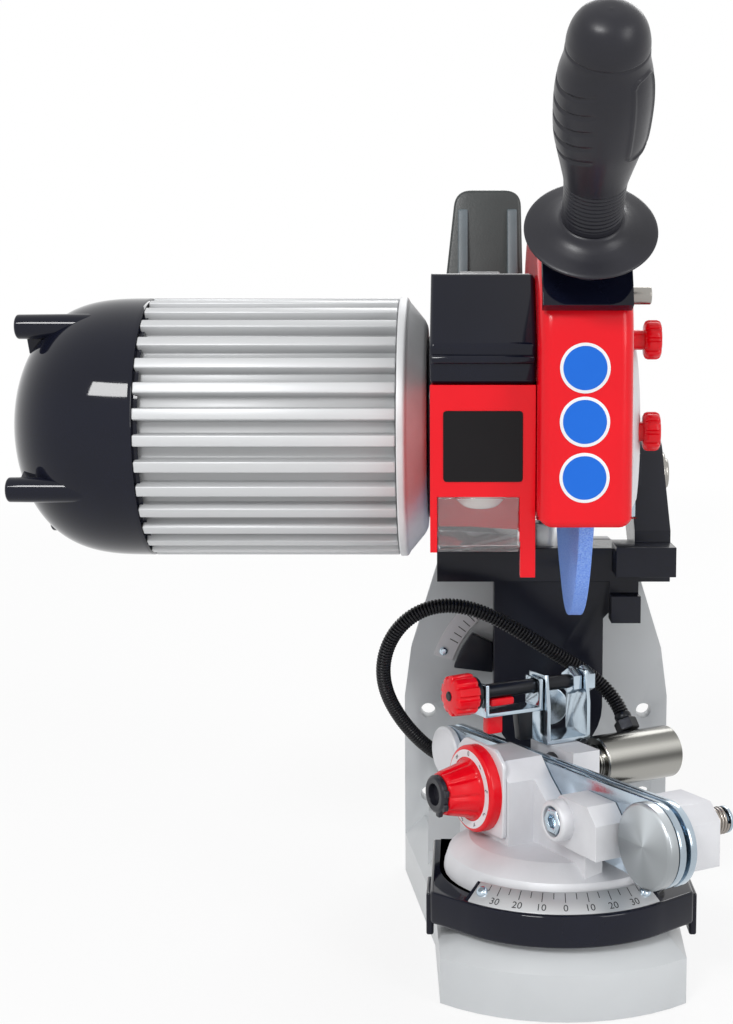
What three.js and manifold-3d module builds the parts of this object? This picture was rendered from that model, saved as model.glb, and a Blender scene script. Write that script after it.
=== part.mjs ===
// Bench chain sharpener: a ribbed motor drives a grinding wheel on a swinging arm, the arm hangs in a
// yoke that leans sideways on a cast base, and a swivelling vise with a hydraulic cylinder holds the chain.
// Millimetres, X to the right, Y to the back, Z up. The origin is the vise's swivel axis on the bench.
import * as THREE from "three";
import { mergeVertices } from "three/addons/utils/BufferGeometryUtils.js";
import Module from "manifold-3d";

const wasm = await Module();
wasm.setup();

// Clearances that every piece shares
const GAP = 0.3; // between pieces that touch or turn on each other
const OVERRUN = 2; // how far a cutting shape runs past the face that it cuts
const MERGE = 0.0001; // points closer than this are one point

// Cast base with its upright plate
const BASE = {
  cornerY: -41, cornerHalf: 47, frontBulge: 17, waistY: 16, waistHalf: 50, rearHalf: 62, rearShift: -4,
  wallTop: 18, top: 27, chamfer: 9, riserFrontY: 56, riserSlope: 18, riserTop: 40,
};
const PLATE = {
  frontY: 109, thickness: 10, top: 160, shoulderZ: 85, neckZ: 108, neckInset: 3, highZ: 150, highInset: 16,
  topInset: 28, holeRadius: 3.5, holeInset: 11, holeLowZ: 37.5, holeHighZ: 78,
};
const SPINDLE = { radius: 8, bottom: 10, top: 48 };

// Black apron round the vise and its degree scale
const APRON = { radius: 56, bandWidth: 9.4, top: 40, earInset: 5, earFrontY: -30, earRearY: -8,
  arcHalfAngle: 47 };
const SCALE = { innerInset: 8.7, outerInset: 1, thickness: 1, halfAngle: 38 };

// Sideways tilt of the yoke
const TILT = { z: 88, boltRadius: 5, headRadius: 9, headHeight: 5 };
const LEVER = { hubRadius: 12, hubLength: 14, armLength: 58, armRadius: 4.5, knobRadius: 6.5, angle: -40 };
const COLUMN = { half: 24.5, frontY: 76, rearY: 106, crossTop: 160, crossBottom: 145, crossFrontY: 74 };
const YOKE = {
  leftX: -50, rightX: 54, ear: 16, earRadius: 17, earFrontZ: 168, gussetZ: 128, gussetX: 40,
  bossLowX: 27, bossHighX: 40, bossLowZ: 128, bossHighZ: 140, bossFrontY: 64,
  padLowX: 28, padFrontY: 54, padLowZ: 150, padTop: 163,
};

// Head pivot and the arm that hangs on it
const PIVOT = { y: 118, z: 190, shaftRadius: 7, hubRadius: 15, ringRadius: 10, ringWidth: 2, overhang: 4 };
const SPRING = { radius: 11, wire: 0.8, turns: 2.5, width: 7 };
const ARM = {
  beamRightX: -12.3, housingRadius: 36, housingLeftX: -51.7, lobeHalf: 6, lobeFrontY: 88,
  lobeBottom: 176, lobeTop: 184, lugFrontY: 50, lugBottom: 190, lugTop: 204, lugWidth: 7.5, beamHalf: 28.8,
};
const STOP_SCREW = { x: 34, y: 58, radius: 2.5, bottom: 176, top: 209, headRadius: 5, headHeight: 5 };
const MASTER = { y: 92, radius: 9, bottom: 147, top: 170, plungerRadius: 4, boreBottom: 150,
  plungerBottom: 158, noseRadius: 1, noseHeight: 1.2 };

// Motor, on one axis with the wheel
const MOTOR = { y: 10, z: 217.5, leftX: -160, rightX: -63.3, radius: 51, finHeight: 4, wall: 2, fins: 32 };
const FLANGE = { leftX: -63, rightX: -52, rimProud: 0.5, rimWidth: 3, faceInset: 11 };
const CAP = {
  wall: 2.5, endX: -217, shares: [[0.59, 1], [0.76, 0.91], [0.87, 0.75], [0.96, 0.49], [1, 0.21], [1, 0]],
  postRadius: 4.7, postInset: 6, postPhase: 118.5, postLength: 24.5, postSetback: 7.5, posts: 4,
};
const SHIELD = { rightX: -161, width: 7 };
const FAN = { leftX: -190, discWidth: 2, bladeWidth: 12, clearance: 7, hubRadius: 14, blades: 8,
  bladeThickness: 2 };
const STATOR = { leftX: -140, rightX: -80, depth: 15, coilInnerDepth: 13, coilOuterDepth: 3,
  coilWidth: 11 };
const ROTOR = { airGap: 3 };
const SHAFT = { radius: 8, leftX: -197, rightX: 23.5 };

// Grinding wheel and its clamp
const WHEEL = { x: 6, width: 8, radius: 75, bevelDepth: 12, tipHalf: 2.6 };
const CLAMP = { radius: 22, width: 5, nutRadius: 12, nutWidth: 6 };

// Red guard round the wheel and what is fixed to it
const GUARD = {
  leftX: -12, rightX: 21, wall: 2.5, skin: 3, frontClearance: 9, lowFrontZ: 187, cornerRadius: 40,
  cornerRise: 32.5,
  crownClearance: 9.5, rearZ: 200, shaftHole: 24, accessHole: 36,
};
const COVER = { radius: 58, rim: 2.5, dome: 7, wall: 2, flatRadius: 38 };
const COVER_KNOB = { y: -30, highZ: 252, lowZ: 218, baseX: 29, width: 8, radius: 8, neckRadius: 4,
  studRadius: 2, flutes: 10 };
const BRACKET = { thickness: 6, from: 100, to: 163, leftX: -11, rightX: 20, bossRadius: 10 };
const HANDLE = {
  x: 5, lean: 139, shieldRadius: 22.8, shieldRim: 2.5, shieldRise: 7, neckRadius: 10.4, neckEnd: 24,
  swellAt: 38, swellRadius: 13.6, gripAt: 50, gripRadius: 15.4, gripEnd: 62, capAt: 77,
  capRadius: 12.8, standoff: 12,
};

// Lamp, its black cover, and the electrics box behind it
const LAMP = {
  leftX: -50, rightX: -12.3, depth: 31.7, bottom: 180, top: 236, wall: 2.5, windowTop: 196,
  cheekBottom: 176, legWidth: 5.4, legDepth: 8, legBottom: 167, lensWall: 1.9, bulbRadius: 10, bulbLength: 27,
  neckRadius: 6.5, socketRadius: 9.5, socketLength: 17, bulbX: -32,
};
const HOOD = {
  lowInset: 1, ridgeRise: 13.7, ridgeProud: 2, slopeDepth: 20, height: 39.7, rearY: 10,
  stepInset: 8, stepClearance: 1,
};
const ROCKER = { lowX: -40, highX: -24, frontY: -24, rearY: -2, depth: 6, rise: 2.6, pocket: 9 };
const BOX = {
  leftX: -46, rightX: -12.6, frontY: 60, rearY: 100, bottom: 247, top: 317, lean: 12, wall: 2.5, finDepth: 6,
  finWidth: 3, finTop: 300, cover: 3,
};
const GLAND = { radius: 7, length: 9, z: 262 };

// Vise, drawn along its own rail and turned on the base by the angle in the photograph
const VISE = {
  turn: -60, discTop: 42, shoulderInset: 2, shoulderZ: 48, domeInset: 10, top: 53.5,
};
const RAIL = { leftX: -78, rightX: 71, z: 70, leftRadius: 11.5, rightRadius: 16, thickness: 3, slot: 1.8,
  frontY: -5.7 };
const RAIL_DISC = { leftWidth: 3.5, rightWidth: 4.5 };
const DIAL_BLOCK = { leftX: -34, rightX: 4, frontY: -26, top: 86, chamfer: 7 };
const BOLT_BLOCK = { leftX: 24, rightX: 54, frontY: -19, bottom: 60.7, top: 80, chamfer: 6 };
const FRONT_WEB = { frontY: -14, top: 72, slope: 9, shelf: 4, overlap: 16 };
const REAR_BLOCK = { leftX: -30, rightX: 2, frontY: 6, rearY: 19, top: 86 };
const REAR_ARM = { leftX: 38, rightX: 68, frontY: 6, rearY: 28, bottom: 55.3, top: 79, webRise: 7,
  overlap: 2 };
const DIAL = { x: -15, z: 73, radius: 17.5, width: 6.7, knobRadius: 11.5, tipRadius: 8.5, knobLength: 13,
  flutes: 8 };
const DIAL_HUB = { radius: 7.6, width: 2.6, hexRadius: 4.6, screwRadius: 4 };
const JAW_BOLT = { x: 32, z: 71, bossRadius: 8, headRadius: 6.2, headWidth: 3, shankRadius: 3, nutRadius: 5,
  rearY: 9 };
const STUD = {
  x: 60, z: 70, radius: 3, rearY: 37, nutRadius: 5.4, nutWidth: 3.2, springRadius: 4.6,
  springWire: 0.5, springTurns: 2.5,
};
const CYLINDER = {
  x: -13, z: 76, radius: 11, neckRadius: 7, shoulderY: 27, rearY: 66, neckFrontY: 9, bore: 4.6,
  boreRearY: 48, rodRadius: 4,
  rodRearY: 40, portY: 50, portLean: 50,
};
const STOP = {
  x: -22, rodZ: 110, rodRadius: 3, sheet: 1.6, half: 8, frontY: 3.9, rearY: 25.2, top: 115,
  nutRadius: 6, nutWidth: 4.5,
  knobRadius: 8.5, knobWidth: 11, knobFrontY: -38, knobDepth: 6, yokeFrontY: -24, yokeHalf: 5.5,
  yokeDrop: 8, yokeRise: 3.6,
  pawlHalf: 2.2, pawlFrontY: -7, pawlRearY: 0.5, pawlBottom: 88, flutes: 10,
};

// Ribbed hydraulic hose: its route from the vise cylinder to the base, and its ribs
const HOSE = {
  radius: 3.1, valley: 2.55, bore: 1.6, ribs: 88, sides: 7, fittingRadius: 5, fittingStart: 11.3,
  fittingEnd: 20,
  collarRadius: 5.5, collarLength: 6,
};
const BULKHEAD_PLACE = { inset: 20, z: 59 };
const BULKHEAD = new THREE.Vector3(BASE.rearShift - BASE.rearHalf + BULKHEAD_PLACE.inset, PLATE.frontY,
  BULKHEAD_PLACE.z);
const HOSE_ROUTE = [
  [18, 50, 103], [2, 47, 117], [-18, 46, 130.5], [-36, 46, 138.5], [-51, 47.5, 139], [-64, 50, 131.5],
  [-72, 54, 117], [-73.5, 61, 101], [-67, 71, 85], [-57, 84, 71.5], [-49.5, 95, 63],
];

// Paints and finishes as the photograph shows them
const finish = (name, color, roughness, metalness) => {
  const made = new THREE.MeshStandardMaterial({ color, roughness, metalness });
  made.name = name;
  return made;
};
const FINISH = {
  greyPaint: finish("grey_paint", 0xc9cfce, 0.45, 0),
  castAluminium: finish("cast_aluminium", 0xc6c4bd, 0.5, 0.8),
  brushedAluminium: finish("brushed_aluminium", 0xc9ccce, 0.35, 0.9),
  zincSteel: finish("zinc_steel", 0xbfc6c8, 0.25, 1),
  darkSteel: finish("dark_steel", 0x2b2d30, 0.4, 0.8),
  blackGloss: finish("black_gloss", 0x0c0d10, 0.12, 0),
  blackCasting: finish("black_casting", 0x1c1e22, 0.35, 0.1),
  darkPlastic: finish("dark_plastic", 0x4b4f50, 0.6, 0),
  handleBlack: finish("handle_black", 0x26282c, 0.5, 0),
  redPlastic: finish("red_plastic", 0xd3131c, 0.25, 0),
  wheelBlue: finish("wheel_blue", 0x5b78d6, 0.95, 0),
  copper: finish("copper", 0xb06a3a, 0.4, 0.8),
  clearPlastic: finish("clear_plastic", 0xe8ecee, 0.1, 0),
  hoseBlack: finish("hose_black", 0x141518, 0.5, 0),
};

const radians = (degrees) => THREE.MathUtils.degToRad(degrees);

// A closed three.js geometry as a solid, with its faces pointing outwards
function solid(geometry) {
  const bare = geometry.index ? geometry.toNonIndexed() : geometry.clone();
  for (const name of Object.keys(bare.attributes)) if (name !== "position") bare.deleteAttribute(name);
  const merged = mergeVertices(bare, MERGE);
  const triVerts = new Uint32Array(merged.index.array);
  const make = () => new wasm.Manifold(new wasm.Mesh({ numProp: 3,
    vertProperties: merged.attributes.position.array, triVerts }));
  const made = make();
  if (made.volume() > 0) return made;
  for (let i = 0; i < triVerts.length; i += 3) [triVerts[i], triVerts[i + 1]] = [triVerts[i + 1],
      triVerts[i]];
  return make();
}

// A named mesh of a solid
function piece(name, body, material) {
  const { vertProperties, triVerts } = body.getMesh();
  const geometry = new THREE.BufferGeometry();
  geometry.setAttribute("position", new THREE.BufferAttribute(vertProperties, 3));
  geometry.setIndex(new THREE.BufferAttribute(triVerts, 1));
  geometry.computeVertexNormals();
  const mesh = new THREE.Mesh(geometry, material);
  mesh.name = name;
  return mesh;
}

const join = (...bodies) => bodies.reduce((whole, body) => whole.add(body));
const cut = (body, ...tools) => tools.reduce((whole, tool) => whole.subtract(tool), body);

function box([lowX, highX], [lowY, highY], [lowZ, highZ]) {
  const geometry = new THREE.BoxGeometry(highX - lowX, highY - lowY, highZ - lowZ);
  return solid(geometry.translate((lowX + highX) / 2, (lowY + highY) / 2, (lowZ + highZ) / 2));
}

// Places a shape drawn along its own Z (extruded) or Y (turned) along a row axis
const EXTRUDE_TURN = {
  x: new THREE.Matrix4().set(0, 0, 1, 0, 1, 0, 0, 0, 0, 1, 0, 0, 0, 0, 0, 1),
  y: new THREE.Matrix4().set(1, 0, 0, 0, 0, 0, -1, 0, 0, 1, 0, 0, 0, 0, 0, 1),
  z: new THREE.Matrix4(),
};
const LATHE_TURN = {
  x: new THREE.Matrix4().makeRotationZ(-Math.PI / 2),
  y: new THREE.Matrix4(),
  z: new THREE.Matrix4().makeRotationX(Math.PI / 2),
};

// An outline in the plane across the axis, carried from low to high: (y, z), (x, z) or (x, y)
function prism(axis, outline, low, high) {
  const shape = new THREE.Shape(outline.map(([a, b]) => new THREE.Vector2(a, b)));
  const geometry = new THREE.ExtrudeGeometry(shape, { depth: high - low, bevelEnabled: false, steps: 1 });
  geometry.applyMatrix4(EXTRUDE_TURN[axis]);
  const start = axis === "y" ? high : low;
  return solid(geometry.translate(axis === "x" ? start : 0, axis === "y" ? start : 0,
    axis === "z" ? start : 0));
}

// A profile of (radius, place along the axis) turned about an axis through (a, b)
function turned(axis, profile, [a, b], sides = 32) {
  const geometry = new THREE.LatheGeometry(profile.map(([r, s]) => new THREE.Vector2(r, s)), sides);
  geometry.applyMatrix4(LATHE_TURN[axis]);
  if (axis === "x") geometry.translate(0, a, b);
  if (axis === "y") geometry.translate(a, 0, b);
  if (axis === "z") geometry.translate(a, b, 0);
  return solid(geometry);
}

const rod = (axis, radius, low, high, at, sides = 16) =>
  turned(axis, [[0, low], [radius, low], [radius, high], [0, high]], at, sides);

const ring = (axis, inner, outer, low, high, at, sides = 24) =>
  turned(axis, [[inner, low], [outer, low], [outer, high], [inner, high], [inner, low]], at, sides);

// A round bar from one point to another
function bar(from, to, radius, sides = 20) {
  const along = new THREE.Vector3().subVectors(to, from);
  const geometry = new THREE.CylinderGeometry(radius, radius, along.length(), sides);
  geometry.applyQuaternion(new THREE.Quaternion().setFromUnitVectors(new THREE.Vector3(0, 1, 0),
    along.clone().normalize()));
  return solid(geometry.translate(...from.clone().addScaledVector(along, 1 / 2).toArray()));
}

// Points on an arc, from one angle to another in degrees
function arc([a, b], radius, from, to, steps) {
  return Array.from({ length: steps + 1 }, (_, i) => {
    const angle = radians(from + ((to - from) * i) / steps);
    return [a + radius * Math.cos(angle), b + radius * Math.sin(angle)];
  });
}

// A stepped round outline: teeth of two radii, for fins and grip flutes
function toothed([a, b], outer, inner, teeth, toothShare) {
  const step = 360 / teeth;
  return Array.from({ length: teeth }, (_, i) => [
    ...arc([a, b], outer, i * step, (i + toothShare) * step, 1),
    ...arc([a, b], inner, (i + toothShare) * step, (i + 1) * step, 1),
  ]).flat();
}

// Two circles on one line and their outer tangents, as one outline
function taperedSlot([leftX, leftRadius], [rightX, rightRadius], z, steps) {
  const lean = THREE.MathUtils.radToDeg(Math.acos((leftRadius - rightRadius) / (rightX - leftX)));
  return [...arc([leftX, z], leftRadius, lean, 360 - lean, steps),
    ...arc([rightX, z], rightRadius, -lean, lean, steps)];
}

// A solid skinned over rings of points, each ring fanned shut at the two ends
function lofted(rings) {
  const sides = rings[0].length;
  const at = (r, s) => r * sides + (s % sides);
  const points = rings.flat();
  const index = [];
  for (let r = 0; r + 1 < rings.length; r++)
    for (let s = 0; s < sides; s++) index.push(at(r, s), at(r, s + 1), at(r + 1, s + 1), at(r, s),
        at(r + 1, s + 1), at(r + 1, s));
  for (const r of [0, rings.length - 1]) {
    const centre = points.length;
    points.push(rings[r].reduce((sum, p) => sum.map((v, k) => v + p[k] / sides), [0, 0, 0]));
    for (let s = 0; s < sides; s++) index.push(...(r ? [centre, at(r, s), at(r, s + 1)] : [centre,
        at(r, s + 1), at(r, s)]));
  }
  const geometry = new THREE.BufferGeometry();
  geometry.setAttribute("position", new THREE.BufferAttribute(new Float32Array(points.flat()), 3));
  geometry.setIndex(index);
  return solid(geometry);
}

// Rings of a tube of changing radius along a curve, each square to it
function tubeRings(curve, stations, sides) {
  const frames = curve.computeFrenetFrames(stations.length - 1, false);
  return stations.map(([share, radius], i) => {
    const centre = curve.getPointAt(share);
    return Array.from({ length: sides }, (_, s) => {
      const angle = (s / sides) * Math.PI * 2;
      return centre.clone()
        .addScaledVector(frames.normals[i], radius * Math.cos(angle))
        .addScaledVector(frames.binormals[i], radius * Math.sin(angle))
        .toArray();
    });
  });
}

// A helical spring about an axis along X or Y, from low to high
function coilSpring(axis, low, high, radius, wire, turns, [a, b], stepsPerTurn, sides) {
  class Helix extends THREE.Curve {
    getPoint(t, target = new THREE.Vector3()) {
      const angle = t * turns * Math.PI * 2;
      const along = low + wire + t * (high - low - 2 * wire);
      const across = [a + radius * Math.cos(angle), b + radius * Math.sin(angle)];
      return axis === "x" ? target.set(along, ...across) : target.set(across[0], along, across[1]);
    }
  }
  const steps = turns * stepsPerTurn;
  const stations = Array.from({ length: steps + 1 }, (_, i) => [i / steps, wire]);
  return lofted(tubeRings(new Helix(), stations, sides));
}

const lampRear = MOTOR.y - ARM.housingRadius - GAP;
const lampFront = lampRear - LAMP.depth;
const hoodBottom = LAMP.top + GAP;
const hoodTop = hoodBottom + HOOD.height;
const motorAxis = [MOTOR.y, MOTOR.z];
const guardFrontY = MOTOR.y - WHEEL.radius - GUARD.frontClearance;
const guardCorner = [guardFrontY + GUARD.cornerRadius, MOTOR.z + GUARD.cornerRise];
const guardCrown = WHEEL.radius + GUARD.crownClearance;
const motorBore = MOTOR.radius - MOTOR.finHeight - MOTOR.wall;
const pivotAxis = [PIVOT.y, PIVOT.z];
const tiltAxis = [0, TILT.z];
const swivelAxis = [0, 0];
const dialAxis = [DIAL.x, DIAL.z];
const boltAxis = [JAW_BOLT.x, JAW_BOLT.z];
const studAxis = [STUD.x, STUD.z];
const cylinderAxis = [CYLINDER.x, CYLINDER.z];
const stopAxis = [STOP.x, STOP.rodZ];

// The foot's outline at one height, drawn in by inset all round
function footRing(inset, z) {
  const half = BASE.cornerHalf - inset;
  const rise = BASE.frontBulge;
  const radius = (half * half + rise * rise) / (2 * rise);
  const spread = THREE.MathUtils.radToDeg(Math.asin(half / radius));
  const cornerY = BASE.cornerY + inset;
  const centreY = cornerY - rise + radius;
  const rearY = PLATE.frontY + PLATE.thickness;
  const front = arc([0, centreY], radius, 270 - spread, 270 + spread, 12);
  const sides = [
    [BASE.waistHalf - inset, BASE.waistY],
    [BASE.rearHalf - inset + BASE.rearShift, PLATE.frontY],
    [BASE.rearHalf - inset + BASE.rearShift, rearY],
    [-BASE.rearHalf + inset + BASE.rearShift, rearY],
    [-BASE.rearHalf + inset + BASE.rearShift, PLATE.frontY],
    [-BASE.waistHalf + inset, BASE.waistY],
  ];
  return [...front, ...sides].map(([x, y]) => [x, y, z]);
}

function makeBase() {
  const group = new THREE.Group();
  const plateRearY = PLATE.frontY + PLATE.thickness;
  const foot = lofted([footRing(0, 0), footRing(0, BASE.wallTop), footRing(BASE.chamfer, BASE.top)]);
  const riserHalf = BASE.waistHalf;
  const riser = prism("x", [
    [BASE.riserFrontY, BASE.wallTop], [plateRearY, BASE.wallTop], [plateRearY, BASE.riserTop],
    [BASE.riserFrontY + BASE.riserSlope, BASE.riserTop], [BASE.riserFrontY, BASE.top],
  ], BASE.rearShift - riserHalf, BASE.rearShift + riserHalf);
  const half = [
    [BASE.rearHalf, 0], [BASE.rearHalf, PLATE.shoulderZ], [BASE.rearHalf - PLATE.neckInset, PLATE.neckZ],
    [BASE.rearHalf - PLATE.highInset, PLATE.highZ], [BASE.rearHalf - PLATE.topInset, PLATE.top],
  ];
  const outline = [
    ...half.map(([x, z]) => [BASE.rearShift + x, z]),
    ...half.toReversed().map(([x, z]) => [BASE.rearShift - x, z]),
  ];
  const plate = prism("y", outline, PLATE.frontY, plateRearY);
  const holeHalfSpan = BASE.rearHalf - PLATE.holeInset;
  const holes = [-1, 1].flatMap((side) => [PLATE.holeLowZ, PLATE.holeHighZ].map((z) =>
    rod("y", PLATE.holeRadius, PLATE.frontY - OVERRUN, plateRearY + OVERRUN,
      [BASE.rearShift + side * holeHalfSpan, z], 16)));
  const boss = rod("y", COLUMN.half, COLUMN.rearY + GAP, PLATE.frontY + OVERRUN, tiltAxis, 32);
  const tiltBore = rod("y", TILT.boltRadius + GAP, COLUMN.rearY - OVERRUN, plateRearY + OVERRUN, tiltAxis);
  const spindleBore = rod("z", SPINDLE.radius + GAP, SPINDLE.bottom, BASE.top + OVERRUN, swivelAxis);
  group.add(piece("base_casting", cut(join(foot, riser, plate, boss), ...holes, tiltBore, spindleBore),
    FINISH.greyPaint));
  group.add(piece("swivel_spindle", rod("z", SPINDLE.radius, SPINDLE.bottom + GAP, SPINDLE.top, swivelAxis),
    FINISH.zincSteel));

  const apronBottom = BASE.top + GAP;
  const apronArc = arc(swivelAxis, APRON.radius, 270 - APRON.arcHalfAngle, 270 + APRON.arcHalfAngle, 20);
  const apron = prism("z", [
    [APRON.earInset - APRON.radius, APRON.earRearY], [APRON.earInset - APRON.radius,
      APRON.earFrontY], ...apronArc,
    [APRON.radius - APRON.earInset, APRON.earFrontY], [APRON.radius - APRON.earInset, APRON.earRearY],
  ], apronBottom, APRON.top);
  const apronBore = rod("z", APRON.radius - APRON.bandWidth, apronBottom - OVERRUN, APRON.top + OVERRUN,
    swivelAxis, 48);
  group.add(piece("scale_apron", cut(apron, apronBore), FINISH.blackGloss));
  const band = [
    ...arc(swivelAxis, APRON.radius - SCALE.outerInset, 270 - SCALE.halfAngle, 270 + SCALE.halfAngle, 20),
    ...arc(swivelAxis, APRON.radius - SCALE.innerInset, 270 + SCALE.halfAngle, 270 - SCALE.halfAngle, 20),
  ];
  const scaleBottom = APRON.top + GAP;
  group.add(piece("degree_scale", prism("z", band, scaleBottom, scaleBottom + SCALE.thickness),
    FINISH.brushedAluminium));

  const headRear = COLUMN.frontY + TILT.headHeight;
  const leverRear = plateRearY + GAP + LEVER.hubLength;
  group.add(piece("tilt_bolt", turned("y", [
    [0, COLUMN.frontY], [TILT.headRadius, COLUMN.frontY], [TILT.headRadius, headRear], [TILT.boltRadius,
      headRear],
    [TILT.boltRadius, leverRear], [0, leverRear],
  ], tiltAxis), FINISH.zincSteel));
  return group;
}

// Lever behind the plate that locks the tilt, with its arm hanging clear of the plate's edge
function makeTiltLever() {
  const front = PLATE.frontY + PLATE.thickness + GAP;
  const rear = front + LEVER.hubLength;
  const mid = (front + rear) / 2;
  const hub = ring("y", TILT.boltRadius + GAP, LEVER.hubRadius, front, rear, tiltAxis, 24);
  const reach = (distance) => new THREE.Vector3(
    distance * Math.cos(radians(LEVER.angle)), mid, TILT.z + distance * Math.sin(radians(LEVER.angle)));
  const arm = bar(reach(LEVER.hubRadius - LEVER.armRadius / 2), reach(LEVER.armLength), LEVER.armRadius,
    16);
  const knob = solid(new THREE.SphereGeometry(LEVER.knobRadius, 16,
    10).translate(...reach(LEVER.armLength).toArray()));
  return piece("tilt_lock_lever", join(hub, arm, knob), FINISH.blackGloss);
}

function makeColumn() {
  const group = new THREE.Group();
  const upright = prism("y", [
    ...arc(tiltAxis, COLUMN.half, 180, 360, 16), [COLUMN.half, YOKE.gussetZ], [YOKE.gussetX,
      COLUMN.crossBottom],
    [YOKE.gussetX, COLUMN.crossTop], [-COLUMN.half, COLUMN.crossTop],
  ], COLUMN.frontY, COLUMN.rearY);
  const cross = box([YOKE.leftX, YOKE.rightX], [COLUMN.crossFrontY, COLUMN.rearY],
    [COLUMN.crossBottom, COLUMN.crossTop]);
  const boss = box([YOKE.bossLowX, YOKE.bossHighX], [YOKE.bossFrontY, COLUMN.frontY + OVERRUN],
    [YOKE.bossLowZ, YOKE.bossHighZ]);
  const bossWeb = box([YOKE.bossLowX, YOKE.bossHighX], [COLUMN.crossFrontY, COLUMN.rearY],
    [YOKE.bossHighZ, COLUMN.crossTop]);
  const pad = box([YOKE.padLowX, YOKE.rightX], [YOKE.padFrontY, COLUMN.crossFrontY + OVERRUN],
    [YOKE.padLowZ, YOKE.padTop]);
  const earOutline = [
    [COLUMN.crossFrontY, COLUMN.crossBottom], [COLUMN.rearY, COLUMN.crossBottom], [COLUMN.rearY,
      COLUMN.crossTop],
    ...arc(pivotAxis, YOKE.earRadius, -40, 150, 14), [COLUMN.crossFrontY, YOKE.earFrontZ],
  ];
  const leftEar = prism("x", earOutline, YOKE.leftX, YOKE.leftX + YOKE.ear);
  const rightEar = prism("x", earOutline, YOKE.rightX - YOKE.ear, YOKE.rightX);
  const shaftBore = rod("x", PIVOT.shaftRadius + GAP, YOKE.leftX - OVERRUN, YOKE.rightX + OVERRUN,
    pivotAxis);
  const tiltBore = rod("y", TILT.boltRadius + GAP, COLUMN.frontY - OVERRUN, COLUMN.rearY + OVERRUN,
    tiltAxis);
  const counterbore = rod("y", TILT.headRadius + GAP, COLUMN.frontY - OVERRUN,
    COLUMN.frontY + TILT.headHeight + GAP, tiltAxis);
  const masterBore = rod("z", MASTER.radius + GAP, MASTER.bottom - GAP, COLUMN.crossTop + OVERRUN,
    [0, MASTER.y]);
  group.add(piece("tilt_yoke",
    cut(join(upright, cross, boss, bossWeb, pad, leftEar, rightEar), shaftBore, tiltBore, counterbore,
      masterBore), FINISH.blackCasting));

  const shaft = rod("x", PIVOT.shaftRadius, YOKE.leftX - PIVOT.overhang, YOKE.rightX + PIVOT.overhang,
    pivotAxis);
  const collars = [YOKE.leftX - GAP - PIVOT.ringWidth, YOKE.rightX + GAP].map((low) =>
    rod("x", PIVOT.ringRadius, low, low + PIVOT.ringWidth, pivotAxis));
  group.add(piece("pivot_shaft", join(shaft, ...collars), FINISH.zincSteel));
  const bore = rod("z", MASTER.plungerRadius + GAP, MASTER.boreBottom, MASTER.top + OVERRUN, [0, MASTER.y],
    20);
  const barrel = rod("z", MASTER.radius, MASTER.bottom, MASTER.top, [0, MASTER.y]);
  group.add(piece("master_cylinder", cut(barrel, bore), FINISH.brushedAluminium));
  return group;
}

// Plunger of the master cylinder, with a coned nose that the arm's lobe rolls on
function makePlunger() {
  const top = ARM.lobeBottom - GAP;
  return piece("master_plunger", turned("z", [
    [0, MASTER.plungerBottom], [MASTER.plungerRadius, MASTER.plungerBottom], [MASTER.plungerRadius,
      top - MASTER.noseHeight],
    [MASTER.noseRadius, top], [0, top],
  ], [0, MASTER.y], 16), FINISH.zincSteel);
}

function makeArm() {
  const group = new THREE.Group();
  const springRight = YOKE.leftX + YOKE.ear + GAP + SPRING.width;
  const hubRight = YOKE.rightX - YOKE.ear - GAP;
  const hub = rod("x", PIVOT.hubRadius, springRight + GAP, hubRight, pivotAxis, 32);
  const housing = rod("x", ARM.housingRadius, ARM.housingLeftX, ARM.beamRightX, motorAxis, 48);
  const beamLeft = springRight + GAP;
  const beam = prism("x", [
    [MOTOR.y, MOTOR.z + ARM.beamHalf], [BOX.frontY, BOX.bottom - GAP],
    [PIVOT.y - PIVOT.hubRadius, BOX.bottom - GAP], [PIVOT.y, PIVOT.z + PIVOT.hubRadius], [PIVOT.y,
      PIVOT.z - PIVOT.hubRadius],
    [PIVOT.y - PIVOT.hubRadius, PIVOT.z - PIVOT.hubRadius], [MOTOR.y, MOTOR.z - ARM.beamHalf],
  ], beamLeft, ARM.beamRightX);
  const lobe = box([-ARM.lobeHalf, ARM.lobeHalf], [ARM.lobeFrontY, PIVOT.y], [ARM.lobeBottom, ARM.lobeTop]);
  const lug = box([hubRight - ARM.lugWidth, hubRight], [ARM.lugFrontY, PIVOT.y],
    [ARM.lugBottom, ARM.lugTop]);
  const shaftBore = rod("x", PIVOT.shaftRadius + GAP, YOKE.leftX, YOKE.rightX, pivotAxis);
  const shaftPassage = rod("x", SHAFT.radius + 3 * GAP, ARM.housingLeftX - OVERRUN,
    ARM.beamRightX + OVERRUN, motorAxis);
  const stopBore = rod("z", STOP_SCREW.radius + GAP, ARM.lugBottom - OVERRUN, ARM.lugTop + OVERRUN,
    [STOP_SCREW.x, STOP_SCREW.y], 12);
  group.add(piece("swing_arm", cut(join(hub, housing, beam, lobe, lug), shaftBore, shaftPassage, stopBore),
    FINISH.blackCasting));
  const springLeft = YOKE.leftX + YOKE.ear + GAP;
  group.add(piece("return_spring",
    coilSpring("x", springLeft, springLeft + SPRING.width, SPRING.radius, SPRING.wire, SPRING.turns,
      pivotAxis, 12, 5), FINISH.darkSteel));
  return group;
}

function makeStopScrew() {
  const seat = STOP_SCREW.top;
  return piece("depth_stop_screw", turned("z", [
    [0, STOP_SCREW.bottom], [STOP_SCREW.radius, STOP_SCREW.bottom], [STOP_SCREW.radius,
      seat], [STOP_SCREW.headRadius, seat],
    [STOP_SCREW.headRadius, seat + STOP_SCREW.headHeight], [0, seat + STOP_SCREW.headHeight],
  ], [STOP_SCREW.x, STOP_SCREW.y], 12), FINISH.zincSteel);
}

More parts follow.
